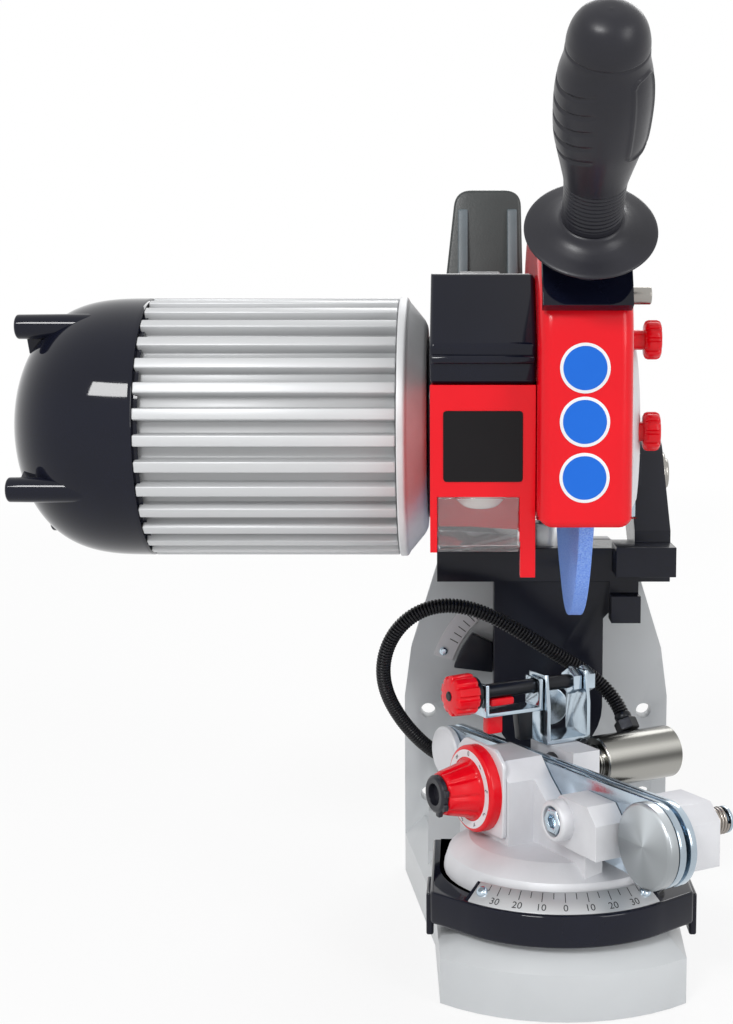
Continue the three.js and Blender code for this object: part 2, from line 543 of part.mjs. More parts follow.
function makeMotor() {
  const group = new THREE.Group();
  const finShare = 0.5;
  const bore = rod("x", motorBore, MOTOR.leftX - OVERRUN, MOTOR.rightX + OVERRUN, motorAxis, 48);
  const fins = prism("x", toothed(motorAxis, MOTOR.radius, MOTOR.radius - MOTOR.finHeight, MOTOR.fins,
    finShare), MOTOR.leftX, MOTOR.rightX);
  group.add(piece("motor_housing", cut(fins, bore), FINISH.brushedAluminium));

  const seat = SHAFT.radius + GAP;
  const rim = MOTOR.radius + FLANGE.rimProud;
  group.add(piece("motor_flange", turned("x", [
    [seat, FLANGE.leftX], [rim, FLANGE.leftX], [rim, FLANGE.leftX + FLANGE.rimWidth],
    [MOTOR.radius - FLANGE.faceInset, FLANGE.rightX], [seat, FLANGE.rightX], [seat, FLANGE.leftX],
  ], motorAxis, 48), FINISH.castAluminium));

  const capRight = MOTOR.leftX - GAP;
  const depth = capRight - CAP.endX;
  const shell = (radius, length) => CAP.shares.map(([r, s]) => [radius * r, capRight - length * s]);
  const outer = shell(MOTOR.radius, depth);
  const inner = shell(MOTOR.radius - CAP.wall, depth - CAP.wall).toReversed();
  const dome = turned("x", [[0, CAP.endX], ...outer, ...inner, [0, CAP.endX + CAP.wall]], motorAxis, 36);
  const postLeft = CAP.endX + CAP.postSetback;
  const postCircle = MOTOR.radius - CAP.postInset;
  const posts = Array.from({ length: CAP.posts }, (_, i) => {
    const angle = radians(CAP.postPhase + (360 * i) / CAP.posts);
    const at = [MOTOR.y + postCircle * Math.cos(angle), MOTOR.z + postCircle * Math.sin(angle)];
    return rod("x", CAP.postRadius, postLeft, postLeft + CAP.postLength, at, 10);
  });
  group.add(piece("motor_end_cap", join(dome, ...posts), FINISH.blackGloss));

  const shieldLeft = SHIELD.rightX - SHIELD.width;
  const shieldRadius = MOTOR.radius - CAP.wall - GAP;
  group.add(piece("rear_bearing_shield", ring("x", seat, shieldRadius, shieldLeft, SHIELD.rightX, motorAxis,
    40), FINISH.castAluminium));
  const core = ring("x", motorBore - STATOR.depth, motorBore - GAP, STATOR.leftX, STATOR.rightX, motorAxis);
  const coils = ring("x", motorBore - STATOR.coilInnerDepth, motorBore - STATOR.coilOuterDepth,
    STATOR.leftX - STATOR.coilWidth, STATOR.rightX + STATOR.coilWidth, motorAxis);
  group.add(piece("stator", join(core, coils), FINISH.copper));
  return group;
}

// Everything that turns with the wheel
function makeRotor() {
  const group = new THREE.Group();
  const left = WHEEL.x - WHEEL.width / 2;
  const right = WHEEL.x + WHEEL.width / 2;
  const shoulder = rod("x", CLAMP.radius, left - GAP - CLAMP.width, left - GAP, motorAxis, 32);
  group.add(piece("motor_shaft", join(rod("x", SHAFT.radius, SHAFT.leftX, SHAFT.rightX, motorAxis),
    shoulder), FINISH.zincSteel));
  const core = ring("x", SHAFT.radius + GAP, motorBore - STATOR.depth - ROTOR.airGap, STATOR.leftX,
    STATOR.rightX, motorAxis);
  group.add(piece("rotor_core", core, FINISH.darkSteel));
  const fanRadius = motorBore - FAN.clearance;
  const discRight = FAN.leftX + FAN.discWidth;
  const bladeRight = discRight + FAN.bladeWidth;
  const hub = rod("x", FAN.hubRadius, FAN.leftX, bladeRight, motorAxis);
  const disc = rod("x", fanRadius, FAN.leftX, discRight, motorAxis, 32);
  const blades = Array.from({ length: FAN.blades }, (_, i) => {
    const half = FAN.bladeThickness / 2;
    const geometry = new THREE.BoxGeometry(bladeRight - FAN.leftX, FAN.bladeThickness,
      fanRadius - FAN.hubRadius + half);
    geometry.translate((FAN.leftX + bladeRight) / 2, 0, (fanRadius + FAN.hubRadius - half) / 2);
    geometry.rotateX((i / FAN.blades) * Math.PI * 2);
    return solid(geometry.translate(0, ...motorAxis));
  });
  const fanBore = rod("x", SHAFT.radius + GAP, FAN.leftX - OVERRUN, bladeRight + OVERRUN, motorAxis);
  group.add(piece("cooling_fan", cut(join(hub, disc, ...blades), fanBore), FINISH.darkPlastic));

  const bore = SHAFT.radius + GAP;
  group.add(piece("grinding_wheel", turned("x", [
    [bore, left], [WHEEL.radius - WHEEL.bevelDepth, left], [WHEEL.radius, WHEEL.x - WHEEL.tipHalf],
    [WHEEL.radius, WHEEL.x + WHEEL.tipHalf], [WHEEL.radius - WHEEL.bevelDepth, right], [bore, right], [bore,
      left],
  ], motorAxis, 48), FINISH.wheelBlue));
  const flangeLow = right + GAP;
  const flange = ring("x", bore, CLAMP.radius, flangeLow, flangeLow + CLAMP.width, motorAxis);
  group.add(piece("wheel_flange", flange, FINISH.zincSteel));
  const nutLow = flangeLow + CLAMP.width + GAP;
  const nut = rod("x", CLAMP.nutRadius, nutLow, nutLow + CLAMP.nutWidth, motorAxis, 6);
  const nutBore = rod("x", bore, nutLow - OVERRUN, nutLow + CLAMP.nutWidth + OVERRUN, motorAxis);
  group.add(piece("wheel_nut", cut(nut, nutBore), FINISH.zincSteel));
  return group;
}

// The guard's side outline, drawn in by inset and opened past its lower edge by drop
function guardOutline(inset, drop) {
  const crown = guardCrown - inset;
  const rearAngle = THREE.MathUtils.radToDeg(Math.asin((GUARD.rearZ - MOTOR.z) / guardCrown));
  return [
    [guardFrontY + inset, GUARD.lowFrontZ - drop],
    ...arc(guardCorner, GUARD.cornerRadius - inset, 180, 105, 8),
    ...arc(motorAxis, crown, 100, rearAngle, 16),
    [MOTOR.y + crown * Math.cos(radians(rearAngle)), GUARD.rearZ - drop],
  ];
}

function makeGuard() {
  const group = new THREE.Group();
  const body = prism("x", guardOutline(0, 0), GUARD.leftX, GUARD.rightX);
  const cavity = prism("x", guardOutline(GUARD.skin, OVERRUN), GUARD.leftX + GUARD.wall,
    GUARD.rightX - GUARD.wall);
  const shaftHole = rod("x", GUARD.shaftHole, GUARD.leftX - OVERRUN, WHEEL.x, motorAxis, 32);
  const accessHole = rod("x", GUARD.accessHole, WHEEL.x, GUARD.rightX + OVERRUN, motorAxis, 32);
  const studs = [[COVER_KNOB.y, COVER_KNOB.highZ], [COVER_KNOB.y, COVER_KNOB.lowZ]];
  const coverLow = GUARD.rightX + GAP;
  const studHoles = studs.map((at) =>
    rod("x", COVER_KNOB.studRadius + GAP, GUARD.rightX - GUARD.wall - OVERRUN,
      coverLow + COVER.dome + OVERRUN, at, 12));
  group.add(piece("wheel_guard", cut(body, cavity, shaftHole, accessHole, ...studHoles),
    FINISH.redPlastic));

  const domeRight = coverLow + COVER.dome;
  const rimInner = COVER.radius - COVER.rim * 2;
  const cover = turned("x", [
    [0, domeRight - COVER.wall], [COVER.flatRadius, domeRight - COVER.wall], [rimInner,
      coverLow + GAP], [rimInner, coverLow],
    [COVER.radius, coverLow], [COVER.radius, coverLow + COVER.rim], [COVER.flatRadius, domeRight], [0,
      domeRight],
  ], motorAxis, 48);
  const trim = prism("x", guardOutline(0, 0), coverLow - OVERRUN, domeRight + OVERRUN);
  group.add(piece("wheel_side_cover", cut(cover.intersect(trim), ...studHoles), FINISH.castAluminium));
  return group;
}

// A fluted knob on a stud, on the axis (y, z) at the given height
function makeCoverKnob(name, z) {
  const at = [COVER_KNOB.y, z];
  const low = COVER_KNOB.baseX;
  const flutedShare = 0.6;
  const fluteDepth = COVER_KNOB.studRadius / 2;
  const grip = prism("x", toothed(at, COVER_KNOB.radius, COVER_KNOB.radius - fluteDepth, COVER_KNOB.flutes,
    flutedShare), low, low + COVER_KNOB.width);
  const neckLow = GUARD.rightX + GAP + COVER.dome + GAP;
  const neck = rod("x", COVER_KNOB.neckRadius, neckLow, low + OVERRUN, at, 16);
  const stud = rod("x", COVER_KNOB.studRadius, GUARD.rightX - GUARD.wall, low + OVERRUN, at, 12);
  return piece(name, join(grip, neck, stud), FINISH.redPlastic);
}

// Handle and its bracket: the handle leans forward, square to the guard's rounded corner
function makeHandle() {
  const group = new THREE.Group();
  const inner = GUARD.cornerRadius + GAP;
  const outer = inner + BRACKET.thickness;
  const band = [
    ...arc(guardCorner, outer, BRACKET.from, BRACKET.to, 8), ...arc(guardCorner, inner, BRACKET.to,
      BRACKET.from, 8),
  ];
  const lean = radians(HANDLE.lean);
  const direction = new THREE.Vector3(0, Math.cos(lean), Math.sin(lean));
  const foot = new THREE.Vector3(HANDLE.x, ...guardCorner);
  const along = (distance) => foot.clone().addScaledVector(direction, distance);
  const shieldAt = outer + HANDLE.standoff;
  const boss = bar(along(inner + BRACKET.thickness / 2), along(shieldAt - GAP), BRACKET.bossRadius);
  group.add(piece("handle_bracket", join(prism("x", band, BRACKET.leftX, BRACKET.rightX), boss),
    FINISH.blackGloss));

  const place = new THREE.Matrix4()
    .makeRotationFromQuaternion(new THREE.Quaternion().setFromUnitVectors(new THREE.Vector3(0, 1, 0),
      direction))
    .setPosition(along(shieldAt));
  const lathe = (profile, sides) =>
    solid(new THREE.LatheGeometry(profile.map(([r, s]) => new THREE.Vector2(r, s)),
      sides).applyMatrix4(place));
  const rim = HANDLE.shieldRim;
  group.add(piece("handle_shield", lathe([
    [0, 0], [HANDLE.shieldRadius, 0], [HANDLE.shieldRadius, rim], [HANDLE.neckRadius + rim * 2, rim * 2],
    [HANDLE.neckRadius, HANDLE.shieldRise], [0, HANDLE.shieldRise],
  ], 28), FINISH.handleBlack));
  const domed = arc([0, HANDLE.capAt], HANDLE.capRadius, 0, 90, 4);
  group.add(piece("handle_grip", lathe([
    [0, HANDLE.shieldRise + GAP], [HANDLE.neckRadius, HANDLE.shieldRise + GAP], [HANDLE.neckRadius,
      HANDLE.neckEnd],
    [HANDLE.swellRadius, HANDLE.swellAt], [HANDLE.gripRadius, HANDLE.gripAt], [HANDLE.gripRadius,
      HANDLE.gripEnd],
    ...domed.slice(0, -1), [0, HANDLE.capAt + HANDLE.capRadius],
  ], 24), FINISH.handleBlack));
  return group;
}

function makeLamp() {
  const group = new THREE.Group();
  const innerX = [LAMP.leftX + LAMP.wall, LAMP.rightX - LAMP.wall];
  const windowRight = LAMP.rightX - LAMP.legWidth - GAP;
  const body = box([LAMP.leftX, LAMP.rightX], [lampFront, lampRear], [LAMP.bottom, LAMP.top]);
  const cavity = box(innerX, [lampFront + LAMP.wall, lampRear - LAMP.wall],
    [LAMP.bottom - OVERRUN, LAMP.top - LAMP.wall]);
  const window = box([innerX[0], windowRight], [lampFront - OVERRUN, lampFront + LAMP.wall + OVERRUN],
    [LAMP.bottom - OVERRUN, LAMP.windowTop]);
  const cheek = box([LAMP.leftX, innerX[0]], [lampFront, lampRear],
    [LAMP.cheekBottom, LAMP.bottom + OVERRUN]);
  const leg = box([LAMP.rightX - LAMP.legWidth, LAMP.rightX], [lampFront, lampFront + LAMP.legDepth],
    [LAMP.legBottom, LAMP.windowTop]);
  group.add(piece("lamp_housing", join(cut(body, cavity, window), cheek, leg), FINISH.redPlastic));
  const lensFront = lampFront + GAP;
  const lensBottom = LAMP.cheekBottom + GAP;
  const lensFloor = lensBottom + LAMP.lensWall;
  const floorRear = lampRear - GAP;
  group.add(piece("lamp_lens", prism("x", [
    [lensFront, lensBottom], [floorRear, lensBottom], [floorRear, lensFloor], [lensFront + LAMP.lensWall,
      lensFloor],
    [lensFront + LAMP.lensWall, LAMP.windowTop - GAP], [lensFront, LAMP.windowTop - GAP],
  ], innerX[0] + GAP, windowRight - GAP), FINISH.clearPlastic));
  const socketTop = LAMP.top - LAMP.wall - GAP;
  const socketBottom = socketTop - LAMP.socketLength;
  const centre = socketBottom - LAMP.bulbLength + LAMP.bulbRadius;
  const round = arc([0, centre], LAMP.bulbRadius, -90, 45, 8);
  group.add(piece("lamp_bulb", turned("z", [
    [0, round[0][1]], ...round.slice(1), [LAMP.neckRadius, socketBottom], [LAMP.socketRadius, socketBottom],
    [LAMP.socketRadius, socketTop], [0, socketTop],
  ], [LAMP.bulbX, (lampFront + lampRear) / 2], 20), FINISH.clearPlastic));
  return group;
}

// Glossy black hood over the lamp, with a pocket for the power switch
function makeHood() {
  const stepZ = MOTOR.z + ARM.housingRadius + HOOD.stepClearance;
  const body = prism("x", [
    [lampFront + HOOD.lowInset, hoodBottom], [lampRear,
      hoodBottom], [MOTOR.y - ARM.housingRadius + HOOD.stepInset, stepZ],
    [HOOD.rearY, stepZ], [HOOD.rearY, hoodTop], [lampFront + HOOD.slopeDepth, hoodTop],
    [lampFront - HOOD.ridgeProud, hoodBottom + HOOD.ridgeRise],
  ], LAMP.leftX, GUARD.leftX - GAP);
  const pocket = box([ROCKER.lowX - GAP, ROCKER.highX + GAP],
    [ROCKER.frontY - GAP * 3, ROCKER.rearY + GAP * 3],
    [hoodTop - ROCKER.pocket, hoodTop + OVERRUN]);
  return piece("lamp_hood", cut(body, pocket), FINISH.blackGloss);
}

// Rocker of the power switch, drawn with its rear half standing proud
function makeRocker() {
  const mid = (ROCKER.frontY + ROCKER.rearY) / 2;
  const keel = hoodTop - ROCKER.pocket + GAP;
  return piece("power_rocker", prism("x", [
    [mid, keel], [ROCKER.rearY, hoodTop - ROCKER.rise], [ROCKER.rearY, hoodTop + ROCKER.rise], [mid,
      hoodTop],
    [ROCKER.frontY, hoodTop - ROCKER.rise / 2], [ROCKER.frontY, hoodTop - ROCKER.depth],
  ], ROCKER.lowX, ROCKER.highX), FINISH.darkPlastic);
}

function makeElectrics() {
  const group = new THREE.Group();
  const rear = BOX.rearY - BOX.cover - GAP;
  const outline = (inset) => [
    [BOX.frontY + inset, BOX.bottom + inset], [rear + inset * OVERRUN, BOX.bottom + inset],
    [rear + inset * OVERRUN, BOX.top - inset], [BOX.frontY + BOX.lean + inset, BOX.top - inset],
  ];
  const shell = prism("x", outline(0), BOX.leftX, BOX.rightX);
  const cavity = prism("x", outline(BOX.wall), BOX.leftX + BOX.wall, BOX.rightX - BOX.wall);
  const finOutline = [
    [BOX.frontY - BOX.finDepth, BOX.bottom + BOX.wall], [BOX.frontY + BOX.lean, BOX.bottom + BOX.wall],
    [BOX.frontY + BOX.lean, BOX.finTop],
  ];
  const fins = [BOX.leftX + BOX.finWidth * 2, BOX.rightX - BOX.finWidth * 3].map((x) => prism("x",
    finOutline, x, x + BOX.finWidth));
  group.add(piece("electrics_box", join(cut(shell, cavity), ...fins.map((fin) => cut(fin, cavity))),
    FINISH.darkPlastic));
  group.add(piece("electrics_cover",
    box([BOX.leftX, BOX.rightX], [BOX.rearY - BOX.cover, BOX.rearY],
      [BOX.bottom, BOX.top]), FINISH.darkPlastic));
  const middle = (BOX.leftX + BOX.rightX) / 2;
  const glandFront = BOX.rearY + GAP;
  group.add(piece("cord_gland", rod("y", GLAND.radius, glandFront, glandFront + GLAND.length,
    [middle, GLAND.z], 20), FINISH.blackGloss));
  return group;
}

// The casting that carries both jaws, the dial, the cylinder and the rear arm, in the rail's own frame
function viseCasting() {
  const bottom = BASE.top + GAP;
  const discRadius = APRON.radius - APRON.bandWidth - 2 * GAP;
  const disc = turned("z", [
    [0, bottom], [discRadius, bottom], [discRadius, VISE.discTop], [discRadius - VISE.shoulderInset,
      VISE.shoulderZ],
    [discRadius - VISE.domeInset, VISE.top], [0, VISE.top],
  ], swivelAxis, 40);
  const jawRear = RAIL.frontY - GAP;
  const low = VISE.discTop;
  const chamfered = ({ leftX, rightX, bottom = low, top, chamfer = BOLT_BLOCK.chamfer }) => [
    [leftX, bottom], [rightX, bottom], [rightX, top - chamfer], [rightX - chamfer, top],
    [leftX + chamfer, top], [leftX, top - chamfer],
  ];
  const dialBlock = prism("y", chamfered(DIAL_BLOCK), DIAL_BLOCK.frontY, jawRear);
  const webRight = BOLT_BLOCK.leftX + FRONT_WEB.overlap;
  const shelfLeft = DIAL_BLOCK.rightX + FRONT_WEB.slope;
  const web = prism("y", [
    [DIAL_BLOCK.leftX, low], [webRight, low], [webRight, BOLT_BLOCK.top - BOLT_BLOCK.chamfer],
    [BOLT_BLOCK.leftX, BOLT_BLOCK.bottom + FRONT_WEB.shelf], [shelfLeft + FRONT_WEB.shelf,
      BOLT_BLOCK.bottom + FRONT_WEB.shelf],
    [shelfLeft, FRONT_WEB.top], [DIAL_BLOCK.rightX, DIAL_BLOCK.top - DIAL_BLOCK.chamfer], [DIAL_BLOCK.leftX,
      FRONT_WEB.top],
  ], FRONT_WEB.frontY, jawRear);
  const boltBlock = prism("y", chamfered(BOLT_BLOCK), BOLT_BLOCK.frontY, jawRear);
  const boltBoss = rod("y", JAW_BOLT.bossRadius, BOLT_BLOCK.frontY - JAW_BOLT.headWidth, jawRear, boltAxis);
  const rearBlock = box([REAR_BLOCK.leftX, REAR_BLOCK.rightX], [REAR_BLOCK.frontY, REAR_BLOCK.rearY],
    [low, REAR_BLOCK.top]);
  const rearWeb = box([REAR_BLOCK.leftX, REAR_ARM.leftX + REAR_ARM.overlap],
    [REAR_BLOCK.frontY, REAR_BLOCK.rearY],
    [low, REAR_ARM.bottom + REAR_ARM.webRise]);
  const rearArm = prism("y", chamfered(REAR_ARM), REAR_ARM.frontY, REAR_ARM.rearY);
  const spindleBore = rod("z", SPINDLE.radius + GAP, bottom - OVERRUN, SPINDLE.top + GAP, swivelAxis);
  const screwBore = rod("y", DIAL_HUB.screwRadius + GAP, DIAL_BLOCK.frontY - OVERRUN, jawRear + OVERRUN,
    dialAxis);
  const boltBore = rod("y", JAW_BOLT.shankRadius + GAP, BOLT_BLOCK.frontY - JAW_BOLT.headWidth - OVERRUN,
    jawRear + OVERRUN, boltAxis);
  const headBore = rod("y", JAW_BOLT.headRadius + GAP, BOLT_BLOCK.frontY - JAW_BOLT.headWidth - OVERRUN,
    BOLT_BLOCK.frontY, boltAxis, 24);
  const neckBore = rod("y", CYLINDER.neckRadius + GAP, REAR_BLOCK.frontY - OVERRUN,
    REAR_BLOCK.rearY + OVERRUN, cylinderAxis);
  const studBore = rod("y", STUD.radius + GAP, REAR_ARM.frontY - OVERRUN, REAR_ARM.rearY + OVERRUN,
    studAxis);
  return cut(join(disc, dialBlock, web, boltBlock, boltBoss, rearBlock, rearWeb, rearArm),
    spindleBore, screwBore, boltBore, headBore, neckBore, studBore);
}

// The outline that both jaw plates share
const railOutline = () => taperedSlot([RAIL.leftX, RAIL.leftRadius], [RAIL.rightX, RAIL.rightRadius],
  RAIL.z, 14);
const frontJawRear = RAIL.frontY + RAIL.thickness;
const rearJawFront = frontJawRear + RAIL.slot;
const rearJawRear = rearJawFront + RAIL.thickness;

function makeVise() {
  const group = new THREE.Group();
  group.add(piece("vise_casting", viseCasting(), FINISH.castAluminium));
  const boltHole = rod("y", JAW_BOLT.shankRadius + GAP, RAIL.frontY - OVERRUN, rearJawRear + OVERRUN,
    boltAxis, 16);
  group.add(piece("front_jaw", cut(prism("y", railOutline(), RAIL.frontY, frontJawRear), boltHole),
    FINISH.zincSteel));
  const discRear = RAIL.frontY - GAP;
  group.add(piece("rail_disc_left",
    rod("y", RAIL.leftRadius, discRear - RAIL_DISC.leftWidth, discRear, [RAIL.leftX, RAIL.z],
      40), FINISH.castAluminium));
  group.add(piece("rail_disc_right",
    rod("y", RAIL.rightRadius, discRear - RAIL_DISC.rightWidth, discRear, [RAIL.rightX, RAIL.z],
      48), FINISH.brushedAluminium));

  const headFront = BOLT_BLOCK.frontY - JAW_BOLT.headWidth;
  const nutFront = REAR_BLOCK.frontY - GAP * 2;
  group.add(piece("jaw_bolt", join(
    rod("y", JAW_BOLT.headRadius, headFront, BOLT_BLOCK.frontY - GAP, boltAxis, 6),
    rod("y", JAW_BOLT.shankRadius, headFront, JAW_BOLT.rearY, boltAxis, 16),
    rod("y", JAW_BOLT.nutRadius, nutFront, JAW_BOLT.rearY, boltAxis, 6)), FINISH.zincSteel));

  const studFront = frontJawRear + GAP;
  const nutRear = STUD.rearY;
  const nutLow = nutRear - STUD.nutWidth;
  group.add(piece("spring_stud", join(
    rod("y", STUD.radius, studFront, nutRear, studAxis, 16),
    rod("y", STUD.nutRadius, nutLow, nutRear, studAxis, 6)), FINISH.zincSteel));
  group.add(piece("stud_spring", coilSpring("y", REAR_ARM.rearY + GAP, nutLow - GAP, STUD.springRadius,
    STUD.springWire,
    STUD.springTurns, studAxis, 8, 5), FINISH.zincSteel));

  const barrel = turned("y", [
    [CYLINDER.bore, CYLINDER.neckFrontY], [CYLINDER.neckRadius, CYLINDER.neckFrontY], [CYLINDER.neckRadius,
      CYLINDER.shoulderY],
    [CYLINDER.radius, CYLINDER.shoulderY], [CYLINDER.radius,
      CYLINDER.rearY - 3 * GAP], [CYLINDER.radius - 3 * GAP, CYLINDER.rearY],
    [0, CYLINDER.rearY], [0, CYLINDER.boreRearY], [CYLINDER.bore, CYLINDER.boreRearY], [CYLINDER.bore,
      CYLINDER.neckFrontY],
  ], cylinderAxis, 40);
  group.add(piece("clamp_cylinder", barrel, FINISH.zincSteel));
  group.add(makeStopBracket());
  return group;
}

// Sheet-steel bracket of the chain stop with its rod and nut
function makeStopBracket() {
  const group = new THREE.Group();
  const floorLow = REAR_BLOCK.top + GAP;
  const floorTop = floorLow + STOP.sheet;
  const channel = prism("x", [
    [STOP.frontY, floorLow], [STOP.rearY, floorLow], [STOP.rearY, STOP.top], [STOP.rearY - STOP.sheet,
      STOP.top],
    [STOP.rearY - STOP.sheet, floorTop], [STOP.frontY + STOP.sheet, floorTop], [STOP.frontY + STOP.sheet,
      STOP.top],
    [STOP.frontY, STOP.top],
  ], STOP.x - STOP.half, STOP.x + STOP.half);
  const rodBore = rod("y", STOP.rodRadius + GAP, STOP.frontY - OVERRUN, STOP.rearY + OVERRUN, stopAxis, 16);
  const taperedEars = prism("y", [
    [STOP.x - STOP.half, floorLow], [STOP.x + STOP.half, floorLow], [STOP.x + STOP.half,
      STOP.rodZ - STOP.half],
    [STOP.x + STOP.rodRadius * 2, STOP.top], [STOP.x - STOP.rodRadius * 2, STOP.top], [STOP.x - STOP.half,
      STOP.rodZ - STOP.half],
  ], STOP.frontY, STOP.rearY);
  group.add(piece("stop_bracket", cut(channel.intersect(taperedEars), rodBore), FINISH.zincSteel));
  const rodFront = STOP.knobFrontY + STOP.knobWidth - STOP.knobDepth;
  const nutLow = STOP.rearY + GAP;
  group.add(piece("stop_rod", join(
    rod("y", STOP.rodRadius, rodFront, nutLow + STOP.nutWidth, stopAxis, 16),
    rod("y", STOP.nutRadius, nutLow, nutLow + STOP.nutWidth, stopAxis, 6)), FINISH.darkSteel));
  return group;
}

function makeStopKnob() {
  const flutedShare = 0.6;
  const rear = STOP.knobFrontY + STOP.knobWidth;
  const grip = prism("y", toothed(stopAxis, STOP.knobRadius, STOP.knobRadius - STOP.sheet / 2, STOP.flutes,
    flutedShare), STOP.knobFrontY, rear);
  const bore = rod("y", STOP.rodRadius + GAP, rear - STOP.knobDepth - GAP, rear + OVERRUN, stopAxis, 16);
  return piece("stop_knob", cut(grip, bore), FINISH.redPlastic);
}

// The chain stop itself: a sheet carrier that turns on the rod, and the pawl that hangs from it
function makeChainStop() {
  const group = new THREE.Group();
  const floorTop = STOP.rodZ - STOP.yokeDrop;
  const floorLow = floorTop - STOP.sheet;
  const top = STOP.rodZ + STOP.yokeRise;
  const rear = STOP.frontY - 2 * GAP;
  const carrier = prism("x", [
    [STOP.yokeFrontY, floorLow], [rear, floorLow], [rear, top], [rear - STOP.sheet,
      top], [rear - STOP.sheet, floorTop],
    [STOP.yokeFrontY + STOP.sheet, floorTop], [STOP.yokeFrontY + STOP.sheet, top], [STOP.yokeFrontY, top],
  ], STOP.x - STOP.yokeHalf, STOP.x + STOP.yokeHalf);
  const bore = rod("y", STOP.rodRadius + GAP, STOP.yokeFrontY - OVERRUN, rear + OVERRUN, stopAxis, 16);
  group.add(piece("stop_carrier", cut(carrier, bore), FINISH.zincSteel));
  group.add(piece("stop_pawl", prism("x", [
    [STOP.pawlFrontY, floorLow - GAP], [STOP.pawlFrontY + STOP.sheet, STOP.pawlBottom], [STOP.pawlRearY,
      STOP.pawlBottom],
    [STOP.pawlRearY, floorLow - GAP],
  ], STOP.x - STOP.pawlHalf, STOP.x + STOP.pawlHalf), FINISH.darkSteel));
  return group;
}

// Rear jaw with the piston rod that pushes it
function makeRearJaw() {
  const group = new THREE.Group();
  const boltHole = rod("y", JAW_BOLT.shankRadius + GAP, rearJawFront - OVERRUN, rearJawRear + OVERRUN,
    boltAxis, 16);
  const studHole = rod("y", STUD.radius + GAP, rearJawFront - OVERRUN, rearJawRear + OVERRUN, studAxis, 16);
  group.add(piece("rear_jaw", cut(prism("y", railOutline(), rearJawFront, rearJawRear), boltHole, studHole),
    FINISH.zincSteel));
  group.add(piece("piston_rod", rod("y", CYLINDER.rodRadius, rearJawRear + GAP, CYLINDER.rodRearY,
    cylinderAxis, 16), FINISH.zincSteel));
  return group;
}

function makeDial() {
  const group = new THREE.Group();
  const rear = DIAL_BLOCK.frontY - GAP;
  const face = rear - DIAL.width;
  const tip = face - DIAL.knobLength;
  const rim = DIAL.radius - GAP * 3;
  const disc = turned("y", [[0, face], [rim, face], [DIAL.radius, face + GAP * 3], [DIAL.radius, rear],
    [0, rear]], dialAxis, 40);
  const cone = turned("y", [[0, tip], [DIAL.tipRadius, tip], [DIAL.knobRadius, face + GAP],
    [0, face + GAP]], dialAxis, 32);
  const grooves = Array.from({ length: DIAL.flutes }, (_, i) => {
    const angle = (i / DIAL.flutes) * Math.PI * 2;
    const reach = DIAL.knobRadius + GAP * 2;
    const at = [DIAL.x + reach * Math.cos(angle), DIAL.z + reach * Math.sin(angle)];
    return rod("y", DIAL_HUB.width / 2, tip - OVERRUN, face - GAP, at, 10);
  });
  const bore = rod("y", DIAL_HUB.screwRadius + GAP, tip - OVERRUN, rear + OVERRUN, dialAxis, 20);
  group.add(piece("clamp_dial", cut(join(disc, cone), ...grooves, bore), FINISH.redPlastic));
  const hubRear = tip - GAP;
  const hubFront = hubRear - DIAL_HUB.width;
  const hub = rod("y", DIAL_HUB.radius, hubFront, hubRear, dialAxis, 24);
  const socket = rod("y", DIAL_HUB.hexRadius, hubFront - OVERRUN, hubRear - GAP, dialAxis, 6);
  const screw = rod("y", DIAL_HUB.screwRadius, hubRear - GAP, RAIL.frontY - GAP, dialAxis, 16);
  group.add(piece("clamp_screw", join(cut(hub, socket), screw), FINISH.handleBlack));
  return group;
}

// A point on the axis of the vise cylinder's hose port, at a distance from the cylinder's axis
function onPort(distance) {
  const lean = radians(CYLINDER.portLean);
  const local = new THREE.Vector3(CYLINDER.x - distance * Math.cos(lean), CYLINDER.portY,
    CYLINDER.z + distance * Math.sin(lean));
  return local.applyMatrix4(new THREE.Matrix4().makeRotationZ(radians(VISE.turn)));
}

// The ribbed hose and its bulkhead fitting, in the base's frame
function makeHose() {
  const group = new THREE.Group();
  const collarEnd = BULKHEAD.clone().setY(BULKHEAD.y - GAP);
  const collarStart = collarEnd.clone().setY(collarEnd.y - HOSE.collarLength);
  group.add(piece("hose_bulkhead", bar(collarEnd, collarStart, HOSE.collarRadius, 6), FINISH.zincSteel));

  const straight = 2 * HOSE.radius;
  const start = onPort(HOSE.fittingEnd + GAP);
  const startLead = onPort(HOSE.fittingEnd + GAP + straight);
  const end = collarStart.clone().setY(collarStart.y - GAP);
  const endLead = end.clone().setY(end.y - straight);
  const route = [start, startLead, ...HOSE_ROUTE.map((p) => new THREE.Vector3(...p)), endLead, end];
  const curve = new THREE.CatmullRomCurve3(route, false, "centripetal");
  const rings = 2 * HOSE.ribs;
  const stations = Array.from({ length: rings },
    (_, i) => [i / (rings - 1), i % 2 ? HOSE.radius : HOSE.valley]);
  const skin = lofted(tubeRings(curve, stations, HOSE.sides));
  const boreSteps = Math.floor(HOSE.ribs / 4);
  const boreStations = Array.from({ length: boreSteps + 1 }, (_, i) => [i / boreSteps, HOSE.bore]);
  const boreRings = tubeRings(curve, boreStations, HOSE.sides);
  const beyond = (ring, from, to) => {
    const shift = new THREE.Vector3().subVectors(to, from).setLength(HOSE.bore);
    return ring.map((p) => [p[0] + shift.x, p[1] + shift.y, p[2] + shift.z]);
  };
  const bore = lofted([beyond(boreRings[0], startLead, start), ...boreRings,
    beyond(boreRings[boreSteps], endLead, end)]);
  group.add(piece("hydraulic_hose", cut(skin, bore), FINISH.hoseBlack));
  return group;
}

